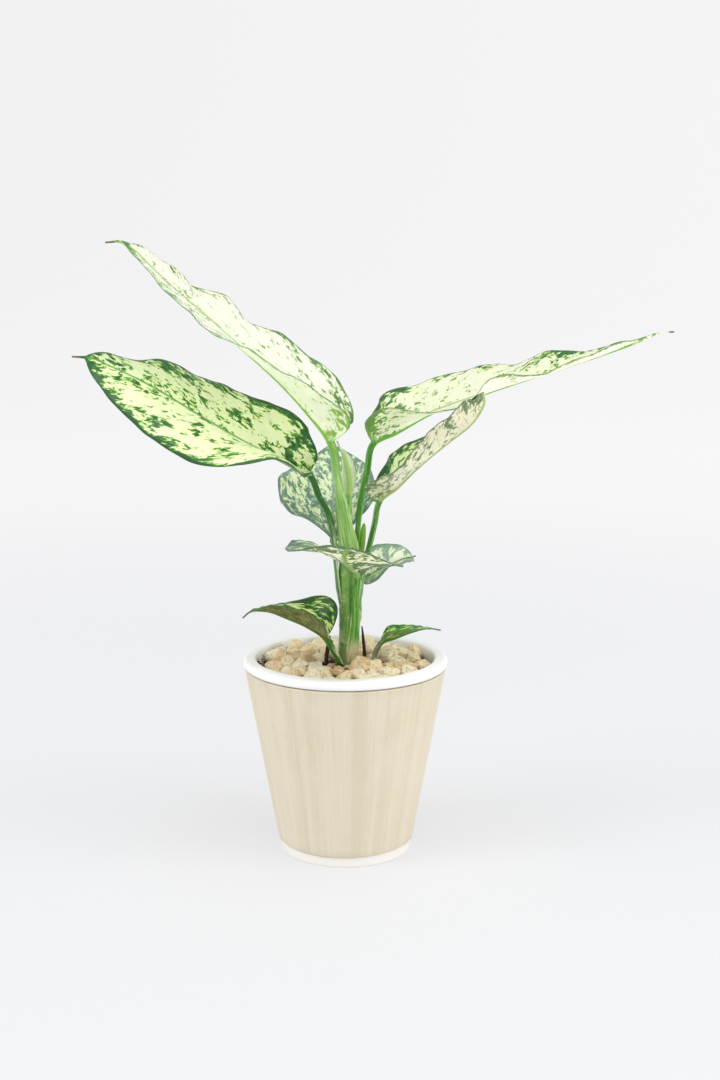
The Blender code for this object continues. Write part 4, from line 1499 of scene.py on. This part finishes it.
@dataclass(frozen=True)
class StemFinish:
    """Green cane: pale streaks along it, mottled scars, and a brown papery foot."""

    green: Colour = srgb(72, 128, 42)
    pale: Colour = srgb(132, 178, 84)
    foot: Colour = srgb(206, 186, 146)
    scar: Colour = srgb(208, 214, 160)
    dark: Colour = srgb(54, 118, 36)

    def material(self) -> bpy.types.Material:
        """The stem's material.

        Returns:
            The material.
        """
        made, w, shader = new_material("stem_cane")
        place = w.place()
        fibre = w.group(Effect.FIBRE, Place=w.scaled(place, 900.0, 900.0, 900.0), Stretch=22.0)
        tone = w.group(Effect.MOTTLE, Place=place, Size=0.006)["Tone"]
        height = w.plus(w.plus(w.parts(place)[2], tone, 0.026), fibre["Bands"], 0.03)
        colour = w.coats(
            self.green,
            (self.pale, w.step(fibre["Bands"], 0.3, 0.7)),
            (self.scar, w.step(tone, 0.5, 0.62), 0.5),
            (self.dark, w.step(tone, 0.46, 0.36), 0.5),
            (self.scar, w.step(fibre["Lines"], 0.6, 0.75), 0.35),
            (self.foot, w.step(height, 0.118, 0.107), 0.75),
        )
        look = {
            "Base Color": colour,
            "Roughness": w.remap(tone, 0.0, 1.0, 0.36, 0.56),
            "Normal": w.bump(fibre["Lines"], 0.3, 0.0002),
            "Subsurface Weight": 0.1,
            "Subsurface Radius": (1.0, 1.2, 0.4),
            "Subsurface Scale": 0.001,
        }
        w.feed(shader, look)
        return made


@dataclass
class Stem:
    """The cane, with ring scars where older leaves were; its line gives x, height and radius."""

    finish: StemFinish
    line: Sequence[Point] = (
        (0.9, 52.0, 3.6), (1.0, 70.0, 4.0), (1.1, 82.0, 4.2), (1.7, 96.0, 4.4), (1.7, 108.0, 4.4),
        (1.4, 118.0, 4.2), (1.0, 128.0, 3.5), (0.4, 137.0, 2.7), (0.0, 145.0, 1.8),
    )
    rings: Sequence[float] = (84.5, 88.5, 93.0, 99.0, 106.0)
    ring_height: float = 0.16
    ring_half: float = 0.5
    rib_height: float = 0.012
    ribs: int = 7
    rows: int = 120
    columns: int = 40

    def make(self) -> None:
        """Carries a circle up the stem; its radius has a low ridge at each ring scar and shallow ribs."""
        line = np.array(self.line)
        heights = np.linspace(line[0, 1], line[-1, 1], self.rows)
        radii = smooth_through(line[:, 1], line[:, 2], heights)
        for ring in self.rings:
            radii = radii + self.ring_height * np.exp(-(((heights - ring) / self.ring_half) ** 2))
        angles = np.linspace(0.0, math.tau, self.columns, endpoint=False)
        tip = ease((line[-1, 1] - heights) / 1.5 + 0.35)
        span = radii[:, None] * (1.0 + self.rib_height * np.sin(self.ribs * angles)) * tip[:, None]
        across = smooth_through(line[:, 1], line[:, 0], heights)
        centre = np.stack((across, np.zeros(self.rows), heights), axis=1)
        side, away = (np.tile(axis, (self.rows, 1)) for axis in ((1.0, 0.0, 0.0), (0.0, 1.0, 0.0)))
        points = carried(centre, side, away, span * np.cos(angles), span * np.sin(angles))
        thing = put_mesh("stem_cane", points, rod_faces(self.rows, self.columns), sharp=60.0)
        dress(thing, self.finish.material(), Slot.STEM, "stem")


@dataclass
class SheathWing:
    """The free upper end of a sheath: a thin pointed blade that stands beside the stem."""

    finish: LeafFinish
    name: str = "sheath_wing"
    line: Sequence[Point] = ((5.4, -2.4, 118.0), (6.5, -2.9, 131.0), (8.1, -3.3, 144.0))
    half: float = 1.5
    thick: float = 0.24
    hollow: float = 0.16
    length: float = 16.0
    rows: int = 40
    columns: int = 28

    def make(self) -> None:
        """Carries a thin curved oval up a line; its width swells, then falls to a point."""
        share, centre, side, away = rail(self.line, self.rows, (0.3, 1.0, 0.0))
        width = self.half * (0.75 + 0.6 * share) * np.sqrt(np.clip(1.0 - share**3, 0.0, 1.0)) + 0.1
        width = width[:, None]
        angles = np.linspace(0.0, math.tau, self.columns, endpoint=False)[None, :]
        across = width * np.cos(angles)
        depth = self.thick * np.sin(angles) + self.hollow * (across**2 - 0.5 * width**2) / self.half
        along = np.repeat(share[:, None] * self.length, self.columns, axis=1)
        ones = np.ones_like(across)
        marks = {
            BLADE_ATTRIBUTE: np.stack((along, across, width - np.abs(across)), axis=-1),
            ZONE_ATTRIBUTE: np.stack((-ones, ones, 0.0 * ones), axis=-1),
        }
        faces = rod_faces(self.rows, self.columns, clockwise=True)
        thing = put_mesh(self.name, carried(centre, side, away, across, depth), faces, marks)
        dress(thing, self.finish.material(self.name), Slot.SHEATH)


@dataclass(frozen=True)
class DryFinish:
    """Withered sheath, nearly black with brown edges."""

    dark: Colour = srgb(44, 26, 28)
    brown: Colour = srgb(112, 78, 56)

    def material(self) -> bpy.types.Material:
        """The dried sheath's material.

        Returns:
            The material.
        """
        made, w, shader = new_material("sheath_withered")
        mottle = w.group(Effect.MOTTLE, Place=w.place(), Size=0.002)
        look = {
            "Base Color": w.mix(w.step(mottle["Tone"], 0.45, 0.75), self.dark, self.brown),
            "Roughness": w.remap(mottle["Tone"], 0.0, 1.0, 0.6, 0.9),
            "Normal": w.bump(mottle["Height"], 0.6, 0.0003),
        }
        w.feed(shader, look)
        return made


@dataclass
class DrySheath:
    """A thin withered sheath: a flattened, twisted rod."""

    name: str
    line: Sequence[Point]
    half: float
    finish: DryFinish = DryFinish()
    twist: float = 2.2
    rows: int = 48
    columns: int = 20

    def make(self) -> None:
        """Carries a lobed section up a curve; its size falls towards the tip and it turns slowly."""
        share, centre, side, away = rail(self.line, self.rows, (0.0, 1.0, 0.0))
        angles = np.linspace(0.0, math.tau, self.columns, endpoint=False)[None, :]
        turn = self.twist * share[:, None]
        flat = 0.28 * (1.0 + np.cos(2.0 * (angles + turn))) * 0.5
        lobes = 1.0 - flat + 0.08 * np.sin(5.0 * angles + 9.0 * turn)
        span = (self.half * (1.0 - 0.7 * share**2))[:, None] * lobes
        points = carried(centre, side, away, span * np.cos(angles), span * np.sin(angles))
        faces = rod_faces(self.rows, self.columns, clockwise=True)
        thing = put_mesh(self.name + "_husk", points, faces, sharp=60.0)
        dress(thing, self.finish.material(), Slot.DRY, self.name)


@dataclass
class Studio:
    """Seamless pale bowl of a floor, soft lights and the camera.

    A light is its name, place, target, size and power.
    """

    camera_place: Point = (0.0063, -0.675, 0.2575)
    camera_tilt: float = 79.8
    lens: float = 53.7
    flat_radius: float = 1500.0
    bowl_radius: float = 3200.0
    bowl_height: float = 1900.0
    steps: int = 96
    sweep: Colour = srgb(152, 153, 155)
    cloud: Colour = srgb(156, 157, 158)
    far_sweep: Colour = srgb(38, 38, 39)
    sky_colour: Colour = (0.97, 0.985, 1.0)
    sky: float = 0.58
    glow_near: float = 0.5
    glow_far: float = 0.37
    lights: Sequence[tuple[str, Point, Point, float, float]] = (
        ("key", (-1.5, -0.75, 1.5), (0.0, 0.0, 0.14), 1.2, 15.0),
        ("fill", (1.6, -0.6, 0.7), (0.0, 0.0, 0.14), 1.3, 8.5),
        ("top", (0.3, -0.5, 1.8), (0.0, 0.0, 0.1), 1.2, 10.5),
    )

    def make(self) -> None:
        """Places the camera, the bowl, the lights and the sky."""
        self._camera()
        self._bowl()
        self._lights()
        self._sky()

    def _camera(self) -> None:
        """The photograph's view."""
        data = bpy.data.cameras.new("camera")
        data.lens = self.lens
        data.sensor_width = 36.0
        data.clip_start = 0.01
        made = bpy.data.objects.new("camera", data)
        made.location = self.camera_place
        made.rotation_euler = (math.radians(self.camera_tilt), 0.0, 0.0)
        bpy.context.scene.collection.objects.link(made)
        bpy.context.scene.camera = made

    def _bowl(self) -> None:
        """A flat floor that curves up all round into a tall wall, so no horizon shows."""
        bend = self.bowl_radius - self.flat_radius
        curve = arc((self.flat_radius, bend), bend, -90, 0, 40)
        profile = np.concatenate((curve, [(self.bowl_radius, self.bowl_height)]))
        rings = circles(profile, self.steps)
        faces = tube_faces(len(profile), self.steps)[:, ::-1].tolist() + fan_faces(len(rings), 0, self.steps)
        thing = put_mesh("studio_sweep", np.concatenate((rings, [[0.0, 0.0, 0.0]])), faces)
        made, w, shader = new_material("studio_sweep")
        near = w.mix(w.step(w.noise(w.place(), 0.8, 2.0), 0.3, 0.7), self.sweep, self.cloud)
        x, y, _ = w.parts(w.place())
        away = w.step(w.math("SQRT", w.math("ADD", w.times(x, x), w.times(y, y))), 0.2, 1.1)
        glow = w.plus(w.plus(self.glow_near, away, self.glow_far), x, 0.02)
        look = {
            "Base Color": w.mix(away, near, self.far_sweep),
            "Emission Color": w.vector(glow, glow, w.times(glow, 1.01)),
            "Emission Strength": 1.0,
            "Roughness": 0.85,
            "Specular IOR Level": 0.2,
        }
        w.feed(shader, look)
        thing.data.materials.append(made)

    def _lights(self) -> None:
        """A wide soft key from the upper left front, a fill from the right and a light from above."""
        for name, place, target, size, power in self.lights:
            data = bpy.data.lights.new(name, "AREA")
            data.shape = "DISK"
            data.size = size
            data.energy = power
            made = bpy.data.objects.new(name, data)
            made.location = place
            made.rotation_euler = (Vector(target) - Vector(place)).to_track_quat("-Z", "Y").to_euler()
            bpy.context.scene.collection.objects.link(made)

    def _sky(self) -> None:
        """Even white light from all round, and plain colour management."""
        world = bpy.data.worlds.new("studio")
        world.use_nodes = True
        back = world.node_tree.nodes["Background"]
        back.inputs["Color"].default_value = (*self.sky_colour, 1.0)
        back.inputs["Strength"].default_value = self.sky
        bpy.context.scene.world = world
        bpy.context.scene.view_settings.view_transform = "Standard"


UPPER_LEFT = LeafFinish(
    top=shades((234, 236, 220), (208, 222, 168), (112, 150, 82), (84, 122, 74)),
    under=shades((248, 249, 230), (146, 190, 66)),
    ribs=shades((150, 190, 84), (130, 190, 46)),
    rod=shades((136, 192, 88), (188, 224, 138), (206, 228, 164)),
    line=srgb(108, 150, 92), seed=1.0, size=0.85, margin=2.6, edge=0.24, clump=0.65, rib_mark=0.0,
    lines=0.2, through=0.22,
)
LEFT = LeafFinish(
    top=shades((232, 240, 196), (182, 214, 114), (74, 136, 46), (36, 92, 40)),
    rod=shades((40, 108, 34), (78, 148, 54), (228, 238, 200)),
    line=srgb(56, 92, 62), seed=5.0, size=0.92, margin=2.0, edge=0.48, clump=0.85, rib_mark=0.08,
)
RIGHT = LeafFinish(
    top=shades((228, 231, 206), (192, 214, 122), (82, 140, 60), (48, 98, 50)),
    under=shades((246, 245, 220), (104, 156, 44)),
    ribs=shades((150, 178, 110), (104, 172, 48)),
    rod=shades((72, 144, 44), (118, 184, 78), (150, 196, 110)),
    line=srgb(112, 136, 96), seed=8.0, size=0.8, margin=2.4, edge=0.3, clump=0.7, rib_mark=0.0, lines=0.3,
    through=0.26,
)
LOWER_RIGHT = LeafFinish(
    top=shades((224, 234, 186), (170, 204, 110), (78, 132, 70), (36, 84, 44)),
    under=shades((232, 229, 199), (110, 134, 80)),
    ribs=shades((110, 154, 76), (168, 190, 118)),
    rod=shades((74, 134, 52), (124, 172, 92), (228, 238, 200)),
    line=srgb(104, 118, 98), seed=12.0, size=0.9, margin=2.4, clump=0.7, lines=0.75, through=0.1,
)
# Painted sheen: the bluish grey greens of this leaf's upper side stand in for white light that it reflects
# at a grazing angle.
PAINTED_SHEEN = LeafFinish(
    top=shades((222, 232, 194), (186, 206, 160), (126, 156, 138), (100, 130, 112)),
    ribs=shades((140, 168, 140), (100, 170, 52)),
    rod=shades((80, 130, 60), (118, 184, 74), (228, 238, 200)),
    line=srgb(112, 140, 126), seed=16.0, size=0.95, margin=2.6, clump=0.6, roughness=0.45,
)
FRONT = LeafFinish(
    top=shades((226, 234, 200), (176, 198, 146), (122, 150, 124), (92, 120, 98)),
    under=shades((248, 254, 212), (44, 92, 8)),
    ribs=shades((120, 142, 100), (138, 170, 92)),
    rod=shades((84, 146, 52), (136, 186, 92), (210, 226, 176)),
    line=srgb(96, 116, 88), papery=0.096, seed=21.0, size=2.1, margin=3.0, edge=0.3, clump=0.5,
    lines=0.25, through=0.16, shine=0.15,
)
LOW_LEFT = LeafFinish(
    top=shades((222, 234, 162), (126, 176, 54), (42, 102, 24), (22, 72, 18)),
    under=shades((140, 148, 80), (84, 98, 42)),
    ribs=shades((74, 120, 44), (92, 132, 50)),
    rod=shades((60, 124, 38), (100, 156, 60), (228, 238, 200)),
    line=srgb(70, 116, 50), seed=27.0, size=0.72, margin=2.4, clump=0.5, lines=0.5,
)
LOW_RIGHT = LeafFinish(
    top=shades((222, 236, 160), (140, 198, 74), (66, 144, 46), (40, 112, 36)),
    under=shades((186, 204, 130), (74, 138, 46)),
    ribs=shades((96, 158, 66), (80, 140, 50)),
    rod=shades((98, 108, 74), (136, 144, 108), (228, 238, 200)),
    line=srgb(96, 138, 96), papery=0.086, seed=33.0, size=0.8, margin=1.4, clump=0.5,
)
# Painted sheen in part: the grey greens and very pale ground of this leaf's upper side stand in for white
# light that it reflects at a grazing angle.
LOW_BACK = LeafFinish(
    top=shades((248, 251, 228), (214, 228, 184), (172, 196, 170), (140, 168, 144)),
    under=shades((208, 222, 172), (116, 156, 92)),
    rod=shades((88, 142, 60), (118, 184, 74), (228, 238, 200)),
    line=srgb(118, 146, 120), seed=39.0, size=1.4, margin=2.0, edge=0.3, clump=0.6,
)
YOUNG = LeafFinish(
    top=shades((236, 246, 206), (204, 230, 154), (170, 208, 118), (146, 192, 100)),
    under=shades((238, 247, 214), (184, 218, 136)),
    ribs=shades((206, 230, 160), (196, 226, 146)),
    rod=shades((146, 204, 98), (196, 228, 150), (228, 238, 200)),
    line=srgb(226, 240, 200), dry=srgb(214, 226, 184), seed=44.0, margin=0.4, edge=0.05, clump=0.2,
    lines=0.6,
)
WING = LeafFinish(
    rod=shades((112, 176, 54), (160, 204, 84), (190, 206, 120)),
    seed=50.0,
)

LEAVES: tuple[Leaf, ...] = (
    Leaf(
        "leaf_upper_left",
        stalk=((2.0, -5.7, 124.5), (0.6, -5.4, 135), (-1.2, -5.3, 146), (-2.8, -5.2, 162)),
        rib=(
            (-6, -5, 179), (-14.5, -6, 190.5), (-25.5, -7, 202.5), (-35.5, -9, 212), (-43.5, -10, 219),
            (-57, -12, 231.5), (-70, -14, 243), (-78.5, -14, 251), (-84.5, -14, 257), (-90, -14, 260.5),
            (-96.5, -14, 260.5),
        ),
        fold_left=(50, 32, 16, 9, 1, -4, -18, -10, -14, -10, 5),
        fold_right=(95, 75, 62, 55, 43, 38, 42, 29, 35, 52, 60),
        green_left=(0.0, -0.11, -0.13, -0.09, -0.03, -0.05, -0.14),
        green_right=(0.02, -0.05, -0.11, -0.14, -0.08, -0.16, -0.16),
        half_width=22.2, belly=0.33, facing=-180, seat=-80, finish=UPPER_LEFT, bend=(10, -20),
        wave=(1.2, 5, 0.2, 0.5), stalk_radius=1.9, foot=(5.4, 0.6), sheath_share=1.0, base_round=0.27,
        tip_shape=(1.97, 0.71), tail=0.07, point=0.34,
    ),
    Leaf(
        "leaf_left",
        stalk=(
            (-3.0, -0.4, 104), (-3.5, -0.4, 118), (-4.4, -0.6, 131), (-5.4, -1.6, 141.5),
            (-7.2, -3.2, 148.5), (-10.8, -4.8, 155.5),
        ),
        rib=(
            (-14.5, -6, 164.5), (-23, -8, 169.5), (-39, -12, 178), (-57.5, -16, 189.5), (-79, -18, 203),
            (-95, -19, 211), (-104, -19, 214.5), (-110.5, -19, 215),
        ),
        fold_left=(22, 49, 60, 41, 23, 15, 11, 12, 8, 15, 5),
        fold_right=(90, 58, 22, 8, -2, -5, -6, -7, -14, -9, -10),
        green_left=(0.03, -0.08, -0.05, -0.04, -0.02, 0.04),
        green_right=(0.06, -0.03, -0.03, 0.0, 0.0, 0.04),
        half_width=24.6, belly=0.39, facing=188, seat=184, finish=LEFT, bend=(-20, -20),
        roll=(-30, -50, -50, -45, -40), wave=(0.8, 4, 0.0, 0.5), sheath_share=0.8, foot=(3.6, 0.6),
        base_round=0.5, tip_shape=(2.5, 0.66), tail=0.05,
    ),
    Leaf(
        "leaf_right",
        stalk=((5.8, 3.5, 125), (5.3, 3.4, 137), (6.2, 2.2, 150), (9.2, 0.9, 165)),
        rib=(
            (12, 0, 177.5), (21, 0, 182), (35.5, 0, 190), (57.5, 0, 198), (83.5, 0, 206.5),
            (106.5, 0, 214), (123, 0, 220), (131, 0, 223.5), (137, 0, 224),
        ),
        fold_left=(49, 74, 46, 42, 42, 33, 48, 37, 43, 68, 80),
        fold_right=(61, 36, 2, -5, 15, 10, 3, 12, 34, 58, 70),
        green_left=(0.12, -0.06, -0.12, -0.1, -0.02, -0.14, -0.18),
        green_right=(0.13, -0.13, -0.17, -0.13, -0.15, -0.18, -0.18),
        half_width=20.8, belly=0.33, facing=0, seat=38, finish=RIGHT, bend=(-20, 10),
        wave=(0.8, 5, 0.0, 0.0), base_round=0.3, tip_shape=(1.22, 0.92), tail=0.10, point=0.42,
        withered=0.02,
    ),
    Leaf(
        "leaf_lower_right",
        stalk=((7.3, -1.1, 106), (7.0, -1.3, 118), (8.4, -2.0, 127), (10.3, -3.5, 134.5), (12.4, -5.8, 144)),
        rib=(
            (14.5, -8, 154), (21.5, -13, 160.5), (29, -17.5, 168.5), (36, -22, 175.2), (43.3, -27, 181.8),
            (51.2, -32, 189), (54.5, -34, 194), (56, -34.5, 198), (55.3, -34, 202),
        ),
        fold_left=(69, 64, 67, 59, 48, 46, 47, 50, 53, 65, 80),
        fold_right=(51, 23, 14, 7, 4, 11, 19, 24, 28, 40, 65),
        green_left=(0.09, 0.05, 0.02, 0.0, 0.0),
        green_right=(0.06, -0.04, -0.06, -0.03, 0.04),
        half_width=15.3, belly=0.22, facing=-20, seat=-12, finish=LOWER_RIGHT, bend=(-10, 10),
        wave=(0.4, 4, 0.0, 0.5), stalk_radius=1.3, foot=(2.6, 0.6), base_round=0.44, tip_shape=(3.1, 0.4),
        tail=0.005, point=0.6, withered=0.01,
    ),
    Leaf(
        "leaf_back",
        stalk=((1.5, 5.6, 106), (0.6, 5.8, 118), (-1.6, 7.6, 127)),
        rib=(
            (-5, 11, 133), (-5.5, 19, 141.5), (-5.5, 29, 151), (-6, 40, 160.5), (-7, 49, 168.5),
            (-7, 54, 173),
        ),
        fold_left=(72, 44, 23, 12, 4, 4, 10, 6, -8, -20, 0),
        fold_right=(33, 44, 37, 33, 22, -10, -24, -20, -8, -5, 5),
        green_left=(0.12, 0.07, 0.06, 0.12),
        green_right=(0.12, 0.07, 0.08, 0.12),
        half_width=24.5, belly=0.56, facing=90, seat=92, finish=PAINTED_SHEEN, wave=(0.8, 4, 0.0, 0.3),
        stalk_radius=1.4, foot=(2.8, 0.6), base_round=0.7, tip_shape=(1.75, 0.69), tail=0.06,
    ),
    Leaf(
        "leaf_front",
        stalk=((3.2, -4.9, 82.5), (3.6, -5.1, 92), (4.1, -5.4, 103), (4.4, -6.4, 113)),
        rib=(
            (5, -9, 122), (2.5, -22, 128), (0.5, -36, 133.5), (0, -50, 138.5), (1, -64, 143.5),
            (2.5, -76, 146.5), (3.5, -84, 148),
        ),
        fold_left=(36, 15, 11, 5, 3, -1, -4, -6, -9, -2, 0),
        fold_right=(51, 37, 43, 34, 29, 17, 11, 9, 9, 18, 8),
        green_left=(0.3, 0.14, 0.06, 0.05, 0.05, 0.1, 0.14),
        green_right=(0.3, 0.14, 0.06, 0.05, 0.05, 0.1, 0.14),
        half_width=23.8, belly=0.49, facing=-90, seat=-66, finish=FRONT, wave=(0.5, 4, 0.0, 0.0),
        stalk_radius=1.5, foot=(3.2, 0.6), sheath_share=0.7, base_round=0.66, tip_shape=(2.25, 0.83),
        tail=0.10,
    ),
    Leaf(
        "leaf_low_left",
        stalk=((-2.5, -3.4, 80.6), (-3.4, -4.4, 85), (-5.4, -6.0, 90)),
        rib=(
            (-8, -8, 95), (-15.5, -12, 101), (-24, -16, 105.5), (-33.5, -20, 109.5), (-39.5, -22, 109.5),
            (-42.5, -22, 107),
        ),
        fold_left=(0, 5, 8, 22, 27, 34, 35, 34, 33, 32, 25),
        fold_right=(96, 98, 54, 33, 26, 19, 11, 9, 6, 5, 20),
        green_left=(0.12, 0.1, 0.1, 0.12),
        green_right=(0.1, 0.06, 0.08, 0.14),
        half_width=17.4, belly=0.24, facing=200, seat=225, finish=LOW_LEFT, wave=(0.4, 3, 0.0, 0.5),
        stalk_radius=1.5, foot=(2.4, 0.6), sheath_share=0.9, base_round=0.75, tip_shape=(2.1, 0.87),
    ),
    Leaf(
        "leaf_low_right",
        stalk=((12, -2.2, 77), (12.2, -2.2, 83), (13, -2.2, 87.5)),
        rib=((15, -3, 91.5), (21.5, -5, 94.5), (28.5, -7, 97.5), (36, -9, 99.5), (40.5, -10, 99)),
        fold_left=(19, 51, 72, 50, 32, 24, 18, 5, -5, 0, 8),
        fold_right=(11, 28, 53, 51, 44, 38, 34, 26, 20, 26, 35),
        green_left=(0.1, 0.06, 0.06, 0.08),
        green_right=(0.1, 0.06, 0.06, 0.08),
        half_width=6.4, belly=0.36, facing=0, seat=0, finish=LOW_RIGHT, wave=(0.2, 3, 0.0, 0.0),
        stalk_radius=1.2, foot=(1.7, 1.5), sheath_share=0.7, base_round=0.46, tip_shape=(2.19, 0.85),
    ),
    Leaf(
        "leaf_low_back",
        stalk=((5.5, 3.9, 97), (5.8, 4.2, 106), (5.5, 6.0, 112)),
        rib=((5.5, 8, 116), (11.5, 14, 118), (18.5, 20, 120.5), (25, 26, 122.5), (31, 32, 123)),
        fold_left=(102, 100, 84, 82, 71, 73, 77, 78, 90, 100, 100),
        fold_right=(-44, -8, 14, 26, 27, 21, 16, 12, 3, -28, -50),
        green_left=(0.06, 0.02, 0.02, 0.06),
        green_right=(0.06, 0.02, 0.02, 0.06),
        half_width=11.1, belly=0.5, facing=30, seat=45, finish=LOW_BACK, wave=(0.3, 3, 0.0, 0.5),
        stalk_radius=1.2, foot=(2.2, 0.6), base_round=0.7, tip_shape=(1.37, 0.71), tail=0.05,
    ),
    Leaf(
        "young_sheath",
        stalk=((0.7, 0.4, 145.4), (1.3, 0.0, 150.5)),
        rib=((1.8, -0.5, 155), (1.7, -0.9, 162), (0.2, -1.3, 169.5), (-3.4, -1.6, 178.5)),
        fold_left=(15, 15, 15, 20, 25, 25),
        fold_right=(15, 15, 15, 20, 25, 25),
        green_left=(-0.1, -0.1, -0.1),
        green_right=(-0.1, -0.1, -0.1),
        half_width=3.9, belly=0.30, facing=-70, seat=-70, finish=YOUNG, bend=(50, 40),
        wave=(0.0, 1.0, 0.0, 0.0), stalk_radius=1.0, foot=(2.6, 0.6), sheath_share=1.0, base_round=0.3,
        tail=0.12, blade_rows=60, slot=Slot.SHEATH,
    ),
)

DRY_SHEATHS: tuple[DrySheath, ...] = (
    DrySheath(
        "dried_sheath_right",
        line=((8.2, -0.4, 78), (8.3, -0.4, 84), (7.8, -0.6, 92), (7.1, -0.4, 98.5)),
        half=0.95,
    ),
    DrySheath(
        "dried_sheath_left",
        line=((-8.0, 0.6, 78), (-8.2, 0.6, 84), (-7.4, 0.4, 90), (-6.6, 0.4, 94)),
        half=1.1,
    ),
)


def main() -> None:
    """Builds and dresses every piece."""
    logging.basicConfig(level=logging.INFO, format="%(name)s %(message)s")
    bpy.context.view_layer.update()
    SharedEffects().make()
    Studio().make()
    pot = Pot(PotFinish())
    pot.make()
    Sleeve(WoodFinish()).make()
    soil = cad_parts["potting_soil"]
    soil.data.materials.clear()
    soil.data.materials.append(SoilFinish().material())
    Gravel(StoneFinish(), pot).make()
    WallCrumbs(SoilFinish(), pot).make()
    Stem(StemFinish()).make()
    for leaf in LEAVES:
        leaf.make()
    SheathWing(WING).make()
    for husk in DRY_SHEATHS:
        husk.make()


if __name__ == "__main__":
    main()
